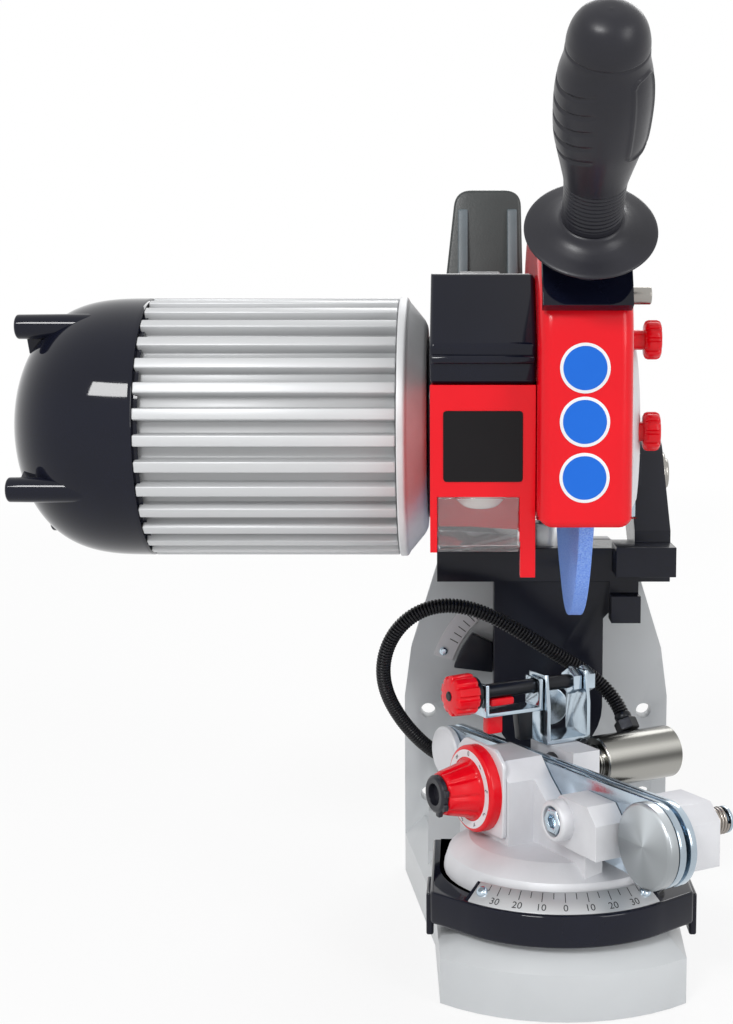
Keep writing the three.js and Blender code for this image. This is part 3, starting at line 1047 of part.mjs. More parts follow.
// The hose fitting on the vise cylinder, in the base's frame
function makePortFitting() {
  return piece("hose_fitting", bar(onPort(HOSE.fittingStart), onPort(HOSE.fittingEnd), HOSE.fittingRadius,
    6), FINISH.zincSteel);
}

// The vise's pieces are drawn along the rail and turned together about the swivel axis
const vise = new THREE.Group();
vise.rotation.z = radians(VISE.turn);
vise.add(makeVise(), makeRearJaw(), makeDial(), makeStopKnob(), makeChainStop());

const head = new THREE.Group();
head.add(makeArm(), makeStopScrew(), makeMotor(), makeRotor(), makeGuard(), makeHandle(), makeLamp(),
  makeHood(), makeRocker());
head.add(makeCoverKnob("cover_knob_high", COVER_KNOB.highZ),
  makeCoverKnob("cover_knob_low", COVER_KNOB.lowZ), makeElectrics());

const sharpener = new THREE.Group();
sharpener.add(makeBase(), makeTiltLever(), makeColumn(), makePlunger(), head, vise, makeHose(),
  makePortFitting());

export default sharpener;
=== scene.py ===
from math import cos, pi, radians, sin

import bmesh
import bpy
import numpy as np
from mathutils import Matrix, Vector


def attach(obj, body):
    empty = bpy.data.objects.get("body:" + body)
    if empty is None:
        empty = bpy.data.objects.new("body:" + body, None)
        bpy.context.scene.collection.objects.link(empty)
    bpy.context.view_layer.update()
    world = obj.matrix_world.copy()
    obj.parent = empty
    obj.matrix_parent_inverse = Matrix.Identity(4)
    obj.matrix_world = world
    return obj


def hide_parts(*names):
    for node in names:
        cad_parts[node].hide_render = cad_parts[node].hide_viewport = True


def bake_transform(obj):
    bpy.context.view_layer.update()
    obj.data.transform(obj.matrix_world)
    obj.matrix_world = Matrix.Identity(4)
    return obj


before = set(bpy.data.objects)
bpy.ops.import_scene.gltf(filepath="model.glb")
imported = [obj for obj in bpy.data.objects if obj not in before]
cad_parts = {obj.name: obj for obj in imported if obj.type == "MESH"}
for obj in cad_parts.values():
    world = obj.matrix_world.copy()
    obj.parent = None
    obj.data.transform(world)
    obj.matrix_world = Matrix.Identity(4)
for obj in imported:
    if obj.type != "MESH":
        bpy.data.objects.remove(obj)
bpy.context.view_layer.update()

# The foot and its upright back plate: one iron casting, filled smooth and sprayed light grey.
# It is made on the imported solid, whose edges get the soft round that thick paint leaves.


def fed(tree, taker, inputs):
    """Gives a node some inputs, by name or number: each a value, or a socket to link."""
    for key, source in inputs.items():
        if isinstance(source, bpy.types.NodeSocket):
            tree.links.new(source, taker.inputs[key])
        else:
            taker.inputs[key].default_value = source
    return taker


def node(tree, kind, inputs=None, operation=None):
    """Adds a node to a material and gives it its inputs."""
    made = tree.nodes.new("ShaderNode" + kind)
    if operation:
        made.operation = operation
    return fed(tree, made, inputs or {})


def ramp(tree, amount, stops, blend="LINEAR"):
    """Turns an amount into a colour, by stops of (amount, colour) in rising order."""
    made = node(tree, "ValToRGB", {"Fac": amount})
    made.color_ramp.interpolation = blend
    elements = made.color_ramp.elements
    elements[0].position, elements[1].position = stops[0][0], stops[-1][0]
    for share, _ in stops[1:-1]:
        elements.new(share)
    for element, (_, colour) in zip(elements, stops):
        element.color = (*colour, 1)
    return made.outputs["Color"]


def fresh_material(name):
    """A new material, with its node tree and its shader."""
    made = bpy.data.materials.new(name)
    made.use_nodes = True
    return made, made.node_tree, made.node_tree.nodes["Principled BSDF"]


def coated(name, colour, roughness, metallic=0.0, grain=0.0, size=1.0, mottle=0.03, coat=0.0,
           stretch=(1, 1, 1), spread=0.05, shine=0.5):
    """A paint, plating or moulded skin on Object coordinates. A broad noise makes the colour a few hundredths
    darker and lighter and moves the roughness by spread; a fine noise of the given size is a bump of that
    grain (mm)."""
    made, tree, shader = fresh_material(name)
    fed(tree, shader, {"Metallic": metallic, "Specular IOR Level": shine, "Coat Weight": coat,
                       "Coat Roughness": 0.06})
    place = node(tree, "Mapping", {"Vector": node(tree, "TexCoord").outputs["Object"], "Scale": stretch})
    spot = place.outputs["Vector"]
    broad, fine = (node(tree, "TexNoise", {"Vector": spot, "Scale": scale, "Detail": detail})
                   for scale, detail in ((45, 6), (1000 / size, 3)))
    tones = [(share, [min(1, part * (1 + shift)) for part in colour])
             for share, shift in ((0.3, -mottle), (0.7, mottle))]
    rough = node(tree, "MapRange", {"Value": (fine if grain else broad).outputs["Fac"],
                                    "To Min": max(0.02, roughness - spread), "To Max": roughness + spread})
    fed(tree, shader, {"Base Color": ramp(tree, broad.outputs["Fac"], tones),
                       "Roughness": rough.outputs["Result"]})
    if grain:
        bump = node(tree, "Bump", {"Height": fine.outputs["Fac"], "Distance": grain * 0.001})
        fed(tree, shader, {"Normal": bump.outputs["Normal"]})
    return made


def placed(name, data):
    """A new object in the scene, at the origin."""
    made = bpy.data.objects.new(name, data)
    bpy.context.scene.collection.objects.link(made)
    return made


def fitted(piece, material, body, slot, stands_for=None):
    """Gives a piece its material and the body that it rides on, and hides the solid it stands for.
    slot is not used.
    """
    piece.data.materials.clear()
    piece.data.materials.append(material)
    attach(piece, body)
    if stands_for:
        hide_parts(stands_for)
    return piece


def dressed_casting(name, solid, material, body, slot, edge, segments=3):
    """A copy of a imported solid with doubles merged, flat faces joined and each edge sharper than 28 degrees
    turned into a round of the given radius in mm."""
    shape = bmesh.new()
    shape.from_mesh(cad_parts[solid].data)
    bmesh.ops.remove_doubles(shape, verts=shape.verts, dist=2e-6)
    bmesh.ops.dissolve_limit(shape, angle_limit=radians(0.6), verts=shape.verts, edges=shape.edges)
    mesh = bpy.data.meshes.new(name)
    shape.to_mesh(mesh)
    shape.free()
    mesh.shade_smooth()
    piece = placed(name, mesh)
    soft = piece.modifiers.new("soft edges", "BEVEL")
    soft.width = edge * 0.001
    soft.segments = segments
    soft.limit_method = "ANGLE"
    soft.angle_limit = radians(28)
    soft.harden_normals = True
    return fitted(piece, material, body, slot, solid)


grey_paint = coated("grey_paint", (0.555, 0.575, 0.59), 0.38, grain=0.02, size=2.2, mottle=0.02, coat=0.1)
dressed_casting("base", "base_casting", grey_paint, "base", "grey_paint", edge=1.6)


# The apron round the vise: injection-moulded gloss black, with a wing back along each side of the vise and
# two hooks over the foot. Its outline is the foot's arc outside and the vise's bore inside, each corner
# round.


def rounded(corners, radius, closed=True, steps=4):
    """An outline whose corners are quadratic curves, each starting and ending one radius from its corner
    or just short of the middle of a shorter side."""
    c = np.asarray(corners, float)
    sides = np.stack([np.roll(c, 1, 0) - c, np.roll(c, -1, 0) - c])
    length = np.maximum(np.linalg.norm(sides, axis=2, keepdims=True), 1e-9)
    start, end = c + sides * np.minimum(radius / length, 0.49)
    t = np.linspace(0, 1, steps + 1)[None, :, None]
    curve = (1 - t) ** 2 * start[:, None] + 2 * t * (1 - t) * c[:, None] + t**2 * end[:, None]
    if not closed:
        curve[0], curve[-1] = c[0], c[-1]
    return curve.reshape(-1, c.shape[1])


def arc(centre, radius, start, end, steps):
    """Points on an arc, from one angle to another in degrees."""
    angle = np.radians(np.linspace(start, end, steps + 1))
    return np.column_stack([centre[0] + radius * np.cos(angle), centre[1] + radius * np.sin(angle)])


def laid(axis, a, b, along):
    """Points whose two coordinates across an axis are a and b, and whose place on the axis is along."""
    a, b, along = np.broadcast_arrays(a, b, along)
    return np.stack({"x": (along, a, b), "y": (a, along, b), "z": (a, b, along)}[axis], -1).astype(float)


def skin(name, grid, *finish, ends=True, ring=False, crisp=38):
    """A mesh over a grid of points in mm, rows by columns: the columns close on themselves, and the rows too
    where ring is set. Open ends get a flat face. Doubled points at a pole are merged and faces turned
    outwards. finish is what fitted takes."""
    rows, columns = grid.shape[:2]
    r = np.arange(rows if ring else rows - 1)[:, None]
    c = np.arange(columns)[None, :]
    near, far = (c + 1) % columns, (r + 1) % rows
    faces = np.stack([r * columns + c, r * columns + near, far * columns + near, far * columns + c], -1)
    faces = faces.reshape(-1, 4).tolist()
    if ends and not ring:
        faces += [list(range(columns)), list(range((rows - 1) * columns, rows * columns))]
    mesh = bpy.data.meshes.new(name)
    mesh.from_pydata((grid.reshape(-1, 3) * 0.001).tolist(), [], faces)
    shape = bmesh.new()
    shape.from_mesh(mesh)
    bmesh.ops.remove_doubles(shape, verts=shape.verts, dist=1e-6)
    bmesh.ops.recalc_face_normals(shape, faces=shape.faces)
    shape.to_mesh(mesh)
    shape.free()
    mesh.shade_smooth()
    mesh.set_sharp_from_angle(angle=radians(crisp))
    piece = placed(name, mesh)
    return fitted(piece, *finish) if finish else piece


def slab_grid(axis, outline, low, high, edge, steps=3):
    """An outline carried along an axis. Near both ends it is drawn in along its own normals by a quarter
    round of the given radius: inset = edge (1 - cos t) while the height moves by edge sin t."""
    o = np.asarray(outline, float)
    ahead = np.roll(o, -1, 0) - np.roll(o, 1, 0)
    normal = np.column_stack([ahead[:, 1], -ahead[:, 0]])
    normal /= np.maximum(np.linalg.norm(normal, axis=1, keepdims=True), 1e-9)
    x, y = o.T
    if np.sum(x * np.roll(y, -1) - np.roll(x, -1) * y) < 0:
        normal = -normal
    t = np.linspace(0, pi / 2, steps + 1)
    inset = np.concatenate([edge * (1 - np.sin(t)), edge * (1 - np.cos(t))])
    height = np.concatenate([low + edge * (1 - np.cos(t)), high - edge * (1 - np.sin(t))])
    drawn = o[None] - normal[None] * inset[:, None, None]
    return laid(axis, drawn[..., 0], drawn[..., 1], height[:, None])


black_gloss = coated("black_gloss", (0.004, 0.005, 0.013), 0.06, mottle=0.1, spread=0.03, shine=0.27)
bore, wing_back, wing_out = 46.7, 34, 51
apron_outline = np.concatenate([
    rounded([(-bore, wing_back), (-wing_out, wing_back), (-wing_out, -30), *arc((0, 0), 56, 226, 314, 20),
             (wing_out, -30), (wing_out, wing_back), (bore, wing_back)], 1.5, closed=False),
    arc((0, 0), bore, 360, 180, 44),
])
skin("apron", slab_grid("z", apron_outline, 27.3, 40, 1.1), black_gloss, "base", "black_gloss", "scale_apron")
for side, name in ((-1, "left"), (1, "right")):
    hook = rounded([(side * 49.7, -28), (side * 52.6, -28), (side * 52.6, -8), (side * 49.7, -8)], 1)
    skin(f"apron_hook_{name}", slab_grid("z", hook, 21.8, 38.5, 0.8), black_gloss, "base", "black_gloss")


# The degree scale: a stamped aluminium band, brushed, that slopes down to the front on a black moulded rest.
# Its engraved marks are filled black: one at every fifth degree, a longer one at each ten, and the tens are
# numbered.


def lettering(name, text, height, place, *finish):
    """Text as thin mesh, its middle at the origin of place, which lays it on the object. A figure is about
    its height in mm, which is the type size over 1.4. finish is what fitted takes."""
    words = bpy.data.curves.new(name, "FONT")
    words.body = text
    words.size = height * 0.001 * 1.4
    words.align_x, words.align_y = "CENTER", "CENTER"
    words.extrude = 0.00004
    words.resolution_u = 3
    shown = placed(name + "_text", words)
    bpy.context.view_layer.update()
    mesh = bpy.data.meshes.new_from_object(shown.evaluated_get(bpy.context.evaluated_depsgraph_get()))
    bpy.data.objects.remove(shown)
    mesh.transform(place)
    mesh.name = name
    return fitted(placed(name, mesh), *finish)


brushed_aluminium = coated("brushed_aluminium", (0.56, 0.57, 0.58), 0.36, metallic=0.7, grain=0.012, size=0.7,
                           stretch=(0.04, 1, 1), mottle=0.07)
black_ink = coated("black_ink", (0.02, 0.02, 0.022), 0.6, mottle=0.2)
scale_lean, scale_span, scale_radius, scale_top = radians(36.4), 41.5, 47.2, 46.1


def on_the_scale(degrees, along, down, above):
    """Points on the sloping band: u along it, v down its slope from the inner edge and h above it, at an
    angle from the front: r = radius + v cos b + h sin b, z = top - v sin b + h cos b, and u square to r."""
    degrees, along, down, above = np.broadcast_arrays(degrees, along, down, above)
    angle = np.radians(270 + degrees)
    reach = scale_radius + down * cos(scale_lean) + above * sin(scale_lean)
    level = scale_top - down * sin(scale_lean) + above * cos(scale_lean)
    x = reach * np.cos(angle) - along * np.sin(angle)
    y = reach * np.sin(angle) + along * np.cos(angle)
    return np.stack([x, y, level], -1)


sweep = np.linspace(-scale_span, scale_span, 61)[:, None]
band = rounded([(0, 0), (9.7, 0), (9.7, -0.6), (0, -0.6)], 0.2, steps=2)
rest = rounded([(-0.1, -0.62), (10.4, -0.62), (10.4, -1.0), (5, -5.2), (-0.1, -5.2)], 0.2, steps=2)
skin("scale_plate", on_the_scale(sweep, 0, band[None, :, 0], band[None, :, 1]),
     brushed_aluminium, "base", "brushed_aluminium", "degree_scale")
skin("scale_rest", on_the_scale(sweep * 44 / scale_span, 0, rest[None, :, 0], rest[None, :, 1]),
     black_gloss, "base", "black_gloss")
mark_side, mark_depth = np.array([[-0.16, 0.16, 0.16, -0.16]]), np.array([[-0.02, -0.02, 0.05, 0.05]])
for degrees in range(-35, 36, 5):
    mark_ends = np.array([[0.5], [4.6 if degrees % 10 == 0 else 3.2]])
    skin(f"scale_mark_{degrees + 35:02d}", on_the_scale(degrees, mark_side, mark_ends, mark_depth),
         black_ink, "base", "dark_steel")
for degrees in range(-30, 31, 10):
    place = (Matrix.Translation(Vector(on_the_scale(degrees, 0, 7.1, 0.02) * 0.001))
             @ Matrix.Rotation(radians(degrees), 4, "Z") @ Matrix.Rotation(scale_lean, 4, "X"))
    lettering(f"scale_number_{degrees + 30:02d}", str(abs(degrees)), 2.9, place, black_ink, "base",
              "dark_steel")


# Two screws with round heads hold the scale to its rest, one near each end of the band. They are small steel
# screws, turned and zinc plated.


def around(axis, centre, radius, angle, along):
    """Points round an axis through centre: centre + radius (cos angle, sin angle), at a place along it."""
    return laid(axis, centre[0] + radius * np.cos(angle), centre[1] + radius * np.sin(angle), along)


def turned_grid(axis, profile, centre, sides, soft=0):
    """A profile of (radius, place on the axis), open and with corners rounded by soft, turned about an axis
    through centre: the row is the place along the profile, the column the angle."""
    r, s = np.asarray(rounded(profile, soft, closed=False) if soft else profile, float).T[..., None]
    return around(axis, centre, r, np.linspace(0, 2 * pi, sides, endpoint=False)[None], s)


zinc = coated("zinc_plate", (0.46, 0.54, 0.61), 0.18, metallic=1.0, grain=0.012, size=1.5, mottle=0.22,
              spread=0.08)
head = turned_grid("z", [(0, -0.3), (2.3, -0.3), (2.3, 0.8), (1.4, 1.6), (0, 1.6)], (0, 0), 24, 0.5)
for name, degrees in (("left", -37.7), ("right", 37.7)):
    skin(f"scale_screw_{name}", on_the_scale(degrees, head[..., 0], 4.2 + head[..., 1], head[..., 2]),
         zinc, "base", "zinc_steel")


# The vise casting: sand-cast aluminium, blasted to an even matt grain, with the blocks that carry the dial,
# the bolt, the cylinder and the spring stud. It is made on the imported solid, with the casting's soft edges.

cast_aluminium = coated("cast_aluminium", (0.68, 0.685, 0.71), 0.5, metallic=0.3, grain=0.05, size=0.55,
                        mottle=0.07)
dressed_casting("vise_body", "vise_casting", cast_aluminium, "vise", "cast_aluminium", edge=1.5)


# The two jaw plates: 3 mm steel stampings of one tapered outline, zinc plated, with a slot between them for
# the chain. A disc closes each end of the rail; the right one is faced on a lathe and shows its turning
# rings,
# with painted reflections: bright and dull sectors painted into its colour.

vise_turn = radians(-60)


def on_the_vise(grid):
    """Points along the rail, turned with the vise to their place: x' = x cos - y sin, y' = x sin + y cos."""
    x, y, z = np.moveaxis(grid, -1, 0)
    return np.stack([x * cos(vise_turn) - y * sin(vise_turn), x * sin(vise_turn) + y * cos(vise_turn), z], -1)


left_end, right_end, left_radius, right_radius = (-78, 70), (71, 70), 11.5, 16
lean = np.degrees(np.arccos((left_radius - right_radius) / (right_end[0] - left_end[0])))
rail_outline = np.concatenate([arc(left_end, left_radius, lean, 360 - lean, 30),
                               arc(right_end, right_radius, -lean, lean, 30)])
for name, solid, body, low in (("front", "front_jaw", "vise", -5.7),
                               ("rear", "rear_jaw", "moving_jaw", -0.9)):
    skin(f"jaw_plate_{name}", on_the_vise(slab_grid("y", rail_outline, low, low + 3, 0.4, 2)),
         zinc, body, "zinc_steel", solid)
rim = [(0, -9.5), (10.4, -9.5), (left_radius, -8.6), (left_radius, -6), (0, -6)]
skin("rail_cap_left", on_the_vise(turned_grid("y", rim, left_end, 56, 0.5)),
     cast_aluminium, "vise", "cast_aluminium", "rail_disc_left")


def faced(material, centre, sideways, levels, tint):
    """Painted reflections on metal turned or ground about a level axis: bright and dull sectors about the
    centre, in mm, painted into the colour from a ramp on the angle atan2(z - zc, s.p - sc) that runs from 0
    to 1, and fine turning rings as a bump from a noise on the distance."""
    tree = material.node_tree
    place = node(tree, "TexCoord").outputs["Object"]
    along = node(tree, "VectorMath", {0: place, 1: sideways}, "DOT_PRODUCT").outputs["Value"]
    height = node(tree, "SeparateXYZ", {0: place}).outputs["Z"]
    across = node(tree, "Math", {0: along, 1: centre[0] * 0.001}, "SUBTRACT").outputs["Value"]
    up = node(tree, "Math", {0: height, 1: centre[1] * 0.001}, "SUBTRACT").outputs["Value"]
    angle = node(tree, "Math", {0: up, 1: across}, "ARCTAN2").outputs["Value"]
    turn = node(tree, "MapRange", {"Value": angle, "From Min": -pi, "From Max": pi}).outputs["Result"]
    seam = 0.43
    stops = [(share, [level * part for part in tint]) for share, level in ((0, seam), *levels, (1, seam))]
    plane = node(tree, "CombineXYZ", {"X": across, "Y": up}).outputs["Vector"]
    far = node(tree, "VectorMath", {0: plane}, "LENGTH").outputs["Value"]
    rings = node(tree, "TexNoise", {"Scale": 1})
    rings.noise_dimensions = "1D"
    fed(tree, rings, {"W": node(tree, "Math", {0: far, 1: 3000}, "MULTIPLY").outputs["Value"]})
    bump = node(tree, "Bump", {"Height": rings.outputs["Fac"], "Distance": 0.000012})
    fed(tree, tree.nodes["Principled BSDF"],
        {"Base Color": ramp(tree, turn, stops, "B_SPLINE"), "Normal": bump.outputs["Normal"]})


along_rail = (cos(vise_turn), sin(vise_turn), 0)
turned_aluminium = coated("turned_aluminium", (0.5, 0.5, 0.5), 0.3, metallic=0.9, mottle=0.02)
# Painted reflections on the faced disc: the bright and dull levels of its sectors, by share of a turn.
disc_painted_sheen = ((0.06, 0.34), (0.18, 0.62), (0.27, 0.40), (0.38, 0.55), (0.5, 0.36), (0.63, 0.72),
               (0.72, 0.95), (0.8, 0.45), (0.9, 0.66))
faced(turned_aluminium, right_end, along_rail, disc_painted_sheen, tint=(0.76, 0.81, 0.84))
rim = [(0, -10.5), (15, -10.5), (right_radius, -9.6), (right_radius, -6), (0, -6)]
skin("rail_cap_right", on_the_vise(turned_grid("y", rim, right_end, 72, 0.4)),
     turned_aluminium, "vise", "brushed_aluminium", "rail_disc_right")


# The jaw bolt: a socket-head cap screw in a round boss cast on the vise, with a nut behind the rear plate.
# Head and nut are zinc plated; the socket is a six-sided recess.


def hexagon(centre, radius, turn=0):
    """The six corners of a bolt head or socket."""
    return arc(centre, radius, turn, turn + 300, 5)


bolt_axis = (32, 71)
boss = [(0, -19), (8, -19), (8, -23.4), (7.4, -24.2), (5.9, -24.2), (5.9, -21.5), (0, -21.5)]
socket = [(0, -22.0), (2.9, -22.0), (2.9, -24.0), (4.6, -24.4), (5.5, -23.6), (5.5, -21.6), (0, -21.6)]
shank = [(0, -21.4), (3, -21.4), (3, 8.6), (2.6, 9), (0, 9)]
skin("bolt_boss", on_the_vise(turned_grid("y", boss, bolt_axis, 40, 0.5)),
     cast_aluminium, "vise", "cast_aluminium")
skin("jaw_bolt_head", on_the_vise(turned_grid("y", socket, bolt_axis, 6, 0.25)),
     zinc, "vise", "zinc_steel", crisp=25)
skin("jaw_bolt_shank", on_the_vise(turned_grid("y", shank, bolt_axis, 24)),
     zinc, "vise", "zinc_steel", "jaw_bolt")
skin("jaw_bolt_nut", on_the_vise(slab_grid("y", hexagon(bolt_axis, 5.4), 5.6, 8.6, 0.4)),
     zinc, "vise", "zinc_steel")


# The stud that holds the rail's right end, with a round collar and the coil spring that takes up the play.
# The spring is bright wire wound on a mandrel, its coil open, so each turn shows.


def drawn_grid(path, radius, sides):
    """A round section carried square to a path of points in mm. The two directions across it are taken from
    the direction in which the path runs least, which is the last singular vector of its steps."""
    p = np.asarray(path, float)
    run = np.gradient(p, axis=0)
    run /= np.linalg.norm(run, axis=1, keepdims=True)
    least = np.linalg.svd(run, full_matrices=True)[2][-1]
    side = np.cross(run, least)
    side /= np.linalg.norm(side, axis=1, keepdims=True)
    up = np.cross(side, run)
    angle = np.linspace(0, 2 * pi, sides, endpoint=False)[None, :, None]
    reach = np.broadcast_to(np.asarray(radius, float), (len(p),))[:, None, None]
    return p[:, None] + reach * (side[:, None] * np.cos(angle) + up[:, None] * np.sin(angle))


def coil(axis, centre, radius, turns, start, length, steps):
    """The line of a wound spring: it goes round centre so many times while it moves length along the axis."""
    wound = np.linspace(0, 1, steps)
    return around(axis, centre, radius, wound * 2 * turns * pi, start + wound * length)


stud_axis = (60, 70)
stud = [(0, -2.4), (3, -2.4), (3, 36.2), (2.3, 37), (0, 37)]
collar = rounded([(3.1, 35.6), (5.2, 35.6), (5.2, 36.9), (3.1, 36.9)], 0.3)
bright_wire = coated("bright_wire", (0.34, 0.31, 0.28), 0.25, metallic=1.0, mottle=0.15)
skin("stud", on_the_vise(turned_grid("y", stud, stud_axis, 24, 0.2)),
     zinc, "vise", "zinc_steel", "spring_stud")
skin("stud_collar", on_the_vise(turned_grid("y", collar, stud_axis, 32)),
     zinc, "vise", "zinc_steel", ring=True)
skin("stud_spring_wire", on_the_vise(drawn_grid(coil("y", stud_axis, 4.6, 4, 29.0, 5.8, 220), 0.72, 10)),
     bright_wire, "vise", "zinc_steel", "stud_spring")


# The dial that sets the clamp: a red moulded ring with an engraved circle of numbers, a fluted cone to grip
# and a black moulded hub with a socket for a key and three lugs round its rim. A cast sheet stands behind it.


def fluted_grid(axis, rows, centre, flutes, width, gap):
    """A moulded knob with grooves along it. A row is (place on the axis, radius, depth of the grooves), and
    at each angle the radius is less by the depth times width cos(flutes angle) - gap, kept from 0 to 1."""
    height, radius, depth = np.asarray(rows, float).T[..., None]
    angle = np.linspace(0, 2 * pi, 144, endpoint=False)[None]
    reach = radius - depth * np.clip(np.cos(angle * flutes) * width - gap, 0, 1)
    return around(axis, centre, reach, angle, height)


def heading(degrees):
    """The direction at an angle, as two coordinates."""
    return np.array([cos(radians(degrees)), sin(radians(degrees))])


dial_axis = np.array([-15, 73])
red_plastic = coated("red_plastic", (0.72, 0.002, 0.010), 0.2, mottle=0.03, spread=0.05, shine=0.3)
white_ink = coated("white_ink", (0.75, 0.76, 0.78), 0.5, mottle=0.03)
handle_black = coated("handle_black", (0.014, 0.014, 0.020), 0.34, grain=0.012, size=0.8, mottle=0.12,
                      shine=0.35)
ring_profile = [(0, -33), (16.2, -33), (17.5, -32.2), (17.5, -26.4), (0, -26.4)]
cone = [(-32.9, 12.8, 0), (-33.6, 11.8, 0.225), (-34.6, 11.3, 0.9), (-39, 10.2, 0.9), (-44, 9.0, 0.9),
        (-45.6, 8.5, 0.54), (-46.2, 7.9, 0)]
number_ring = [(12.9, -33.02), (15.8, -33.02), (15.8, -33.1), (12.9, -33.1)]
hub = [(0, -43), (4.4, -43), (4.4, -49), (6.6, -49.1), (7.6, -48.3), (7.6, -46.4), (0, -46.4)]
skin("dial_ring", on_the_vise(turned_grid("y", ring_profile, dial_axis, 72, 0.8)),
     red_plastic, "dial", "red_plastic", "clamp_dial")
skin("dial_cone", on_the_vise(fluted_grid("y", cone, dial_axis, 9, 2, 1.1)),
     red_plastic, "dial", "red_plastic", crisp=60)
skin("dial_number_band", on_the_vise(turned_grid("y", number_ring, dial_axis, 72)),
     white_ink, "dial", "red_plastic", ring=True)
for number in range(9):
    x, z = (dial_axis + 14.35 * heading(90 - 40 * number)) * 0.001
    place = (Matrix.Rotation(vise_turn, 4, "Z") @ Matrix.Translation((x, -0.03312, z))
             @ Matrix.Rotation(-radians(40 * number), 4, "Y") @ Matrix.Rotation(pi / 2, 4, "X"))
    lettering(f"dial_number_{number}", str(number), 2.0, place, black_ink, "dial", "handle_black")
skin("dial_hub_ring", on_the_vise(turned_grid("y", hub, dial_axis, 48, 0.3)),
     handle_black, "dial", "handle_black", "clamp_screw")
for lug in range(3):
    middle = dial_axis + 7.6 * heading(-30 + 45 * (lug - 1))
    outline = rounded(middle + [(-1.5, -1.5), (1.5, -1.5), (1.5, 1.5), (-1.5, 1.5)], 1)
    skin(f"dial_hub_lug_{lug}", on_the_vise(slab_grid("y", outline, -48.4, -46.6, 0.4)),
         handle_black, "dial", "handle_black")
sheet = rounded([(-33, 56), (3, 56), (3, 86), (-3, 91), (-27, 91), (-33, 86)], 2)
skin("dial_backing_plate", on_the_vise(slab_grid("y", sheet, -27.9, -26.1, 0.4)),
     cast_aluminium, "vise", "cast_aluminium")


# The hydraulic cylinder: stainless steel turned from bar and ground bright, with a chamfer at its closed end,
# a grooved neck in the casting and a bleed screw on its shoulder. The piston rod runs to the rear jaw.

cylinder_axis = (-13, 76)
ground_steel = coated("ground_steel", (0.36, 0.345, 0.32), 0.24, metallic=1.0, grain=0.01, size=0.35,
                      stretch=(1, 1, 0.3), mottle=0.14)
dark_steel = coated("dark_steel", (0.02, 0.021, 0.024), 0.3, metallic=0.8, grain=0.01, size=1.0, mottle=0.2)
barrel_steel = coated("barrel_steel", (0.4, 0.4, 0.4), 0.22, metallic=1.0, mottle=0.02)
# Painted reflections on the ground barrel: a bright band and dark bands painted round it, by share of a turn.
barrel_painted_reflections = ((0.2, 0.26), (0.38, 0.44), (0.47, 0.52), (0.51, 0.12), (0.54, 0.16), (0.585, 0.9),
                 (0.62, 0.34), (0.68, 0.16), (0.76, 0.27), (0.85, 0.25))
faced(barrel_steel, cylinder_axis, along_rail, barrel_painted_reflections, tint=(0.80, 0.79, 0.735))
barrel = [(0, 66), (9.6, 66), (11, 64.8), (11, 27.6), (10.4, 27), (7.4, 27), (7.4, 25.4), (6.2, 25.4),
          (6.2, 23.8), (7.6, 23.8), (7.6, 19.3), (0, 19.3)]
bleed = [(0, 82.5), (1.9, 82.5), (1.9, 85.9), (1.3, 86.6), (0.9, 86.6), (0.9, 85.4), (0, 85.4)]
rod = [(0, 2.4), (4, 2.4), (4, 40), (0, 40)]
skin("cylinder_barrel", on_the_vise(turned_grid("y", barrel, cylinder_axis, 72, 0.35)),
     barrel_steel, "vise", "zinc_steel", "clamp_cylinder")
skin("bleed_screw", on_the_vise(turned_grid("z", bleed, (-13, 21.6), 20, 0.2)),
     dark_steel, "vise", "dark_steel")
skin("piston", on_the_vise(turned_grid("y", rod, cylinder_axis, 32, 0.4)),
     ground_steel, "moving_jaw", "zinc_steel", "piston_rod")


# The hydraulic hose: black nylon in a ribbed sleeve, crimped into a hexagonal fitting at the cylinder and
# into a bulkhead fitting on the back plate. The real hose bends as the vise turns; here it is one fixed
# shape.


port_lean, port_along = radians(50), 50


def on_the_port(distance):
    """A point on the hose port, at a distance in mm from the cylinder's axis, turned with the vise."""
    x, z = cylinder_axis[0] - distance * cos(port_lean), cylinder_axis[1] + distance * sin(port_lean)
    return on_the_vise(np.array([x, port_along, z]))


def smooth_route(points, samples):
    """A centripetal Catmull-Rom curve through the points, sampled evenly along its length: neighbouring
    points are mixed by their share of the way between two knots, and those mixes are mixed twice more."""
    p = np.vstack([2 * points[0] - points[1], points, 2 * points[-1] - points[-2]])
    knots = np.concatenate([[0], np.cumsum(np.linalg.norm(np.diff(p, axis=0), axis=1) ** 0.5)])
    t = np.linspace(knots[1], knots[-2], 2000)
    i = np.clip(np.searchsorted(knots, t, side="right") - 1, 1, len(p) - 3)
    t0, t1, t2, t3 = (knots[i + k][:, None] for k in (-1, 0, 1, 2))
    p0, p1, p2, p3 = (p[i + k] for k in (-1, 0, 1, 2))
    u = t[:, None]

    def mix(low, high, a, b):
        """a and b mixed by their share of the way from one knot to another."""
        return (high - u) / (high - low) * a + (u - low) / (high - low) * b

    first, second, third = mix(t0, t1, p0, p1), mix(t1, t2, p1, p2), mix(t2, t3, p2, p3)
    curve = mix(t1, t2, mix(t0, t2, first, second), mix(t1, t3, second, third))
    length = np.concatenate([[0], np.cumsum(np.linalg.norm(np.diff(curve, axis=0), axis=1))])
    even = np.linspace(0, length[-1], samples)
    return np.column_stack([np.interp(even, length, curve[:, k]) for k in range(3)])


def sprung(line, first, last, spread):
    """The line as a stiff hose takes it: the sum of its squared second differences, times the fourth power of
    spread in samples, plus its squared distance from the route, is least. It leaves both ends straight, along
    first and last."""
    bend = np.diff(np.eye(len(line)), 2, axis=0)
    hold = np.ones(len(line))
    hold[[0, 1, -2, -1]] = 1e6
    goal, step = line.copy(), np.linalg.norm(line[1] - line[0])
    goal[1], goal[-2] = goal[0] + first * step, goal[-1] - last * step
    return np.linalg.solve(spread**4 * bend.T @ bend + np.diag(hold), hold[:, None] * goal)


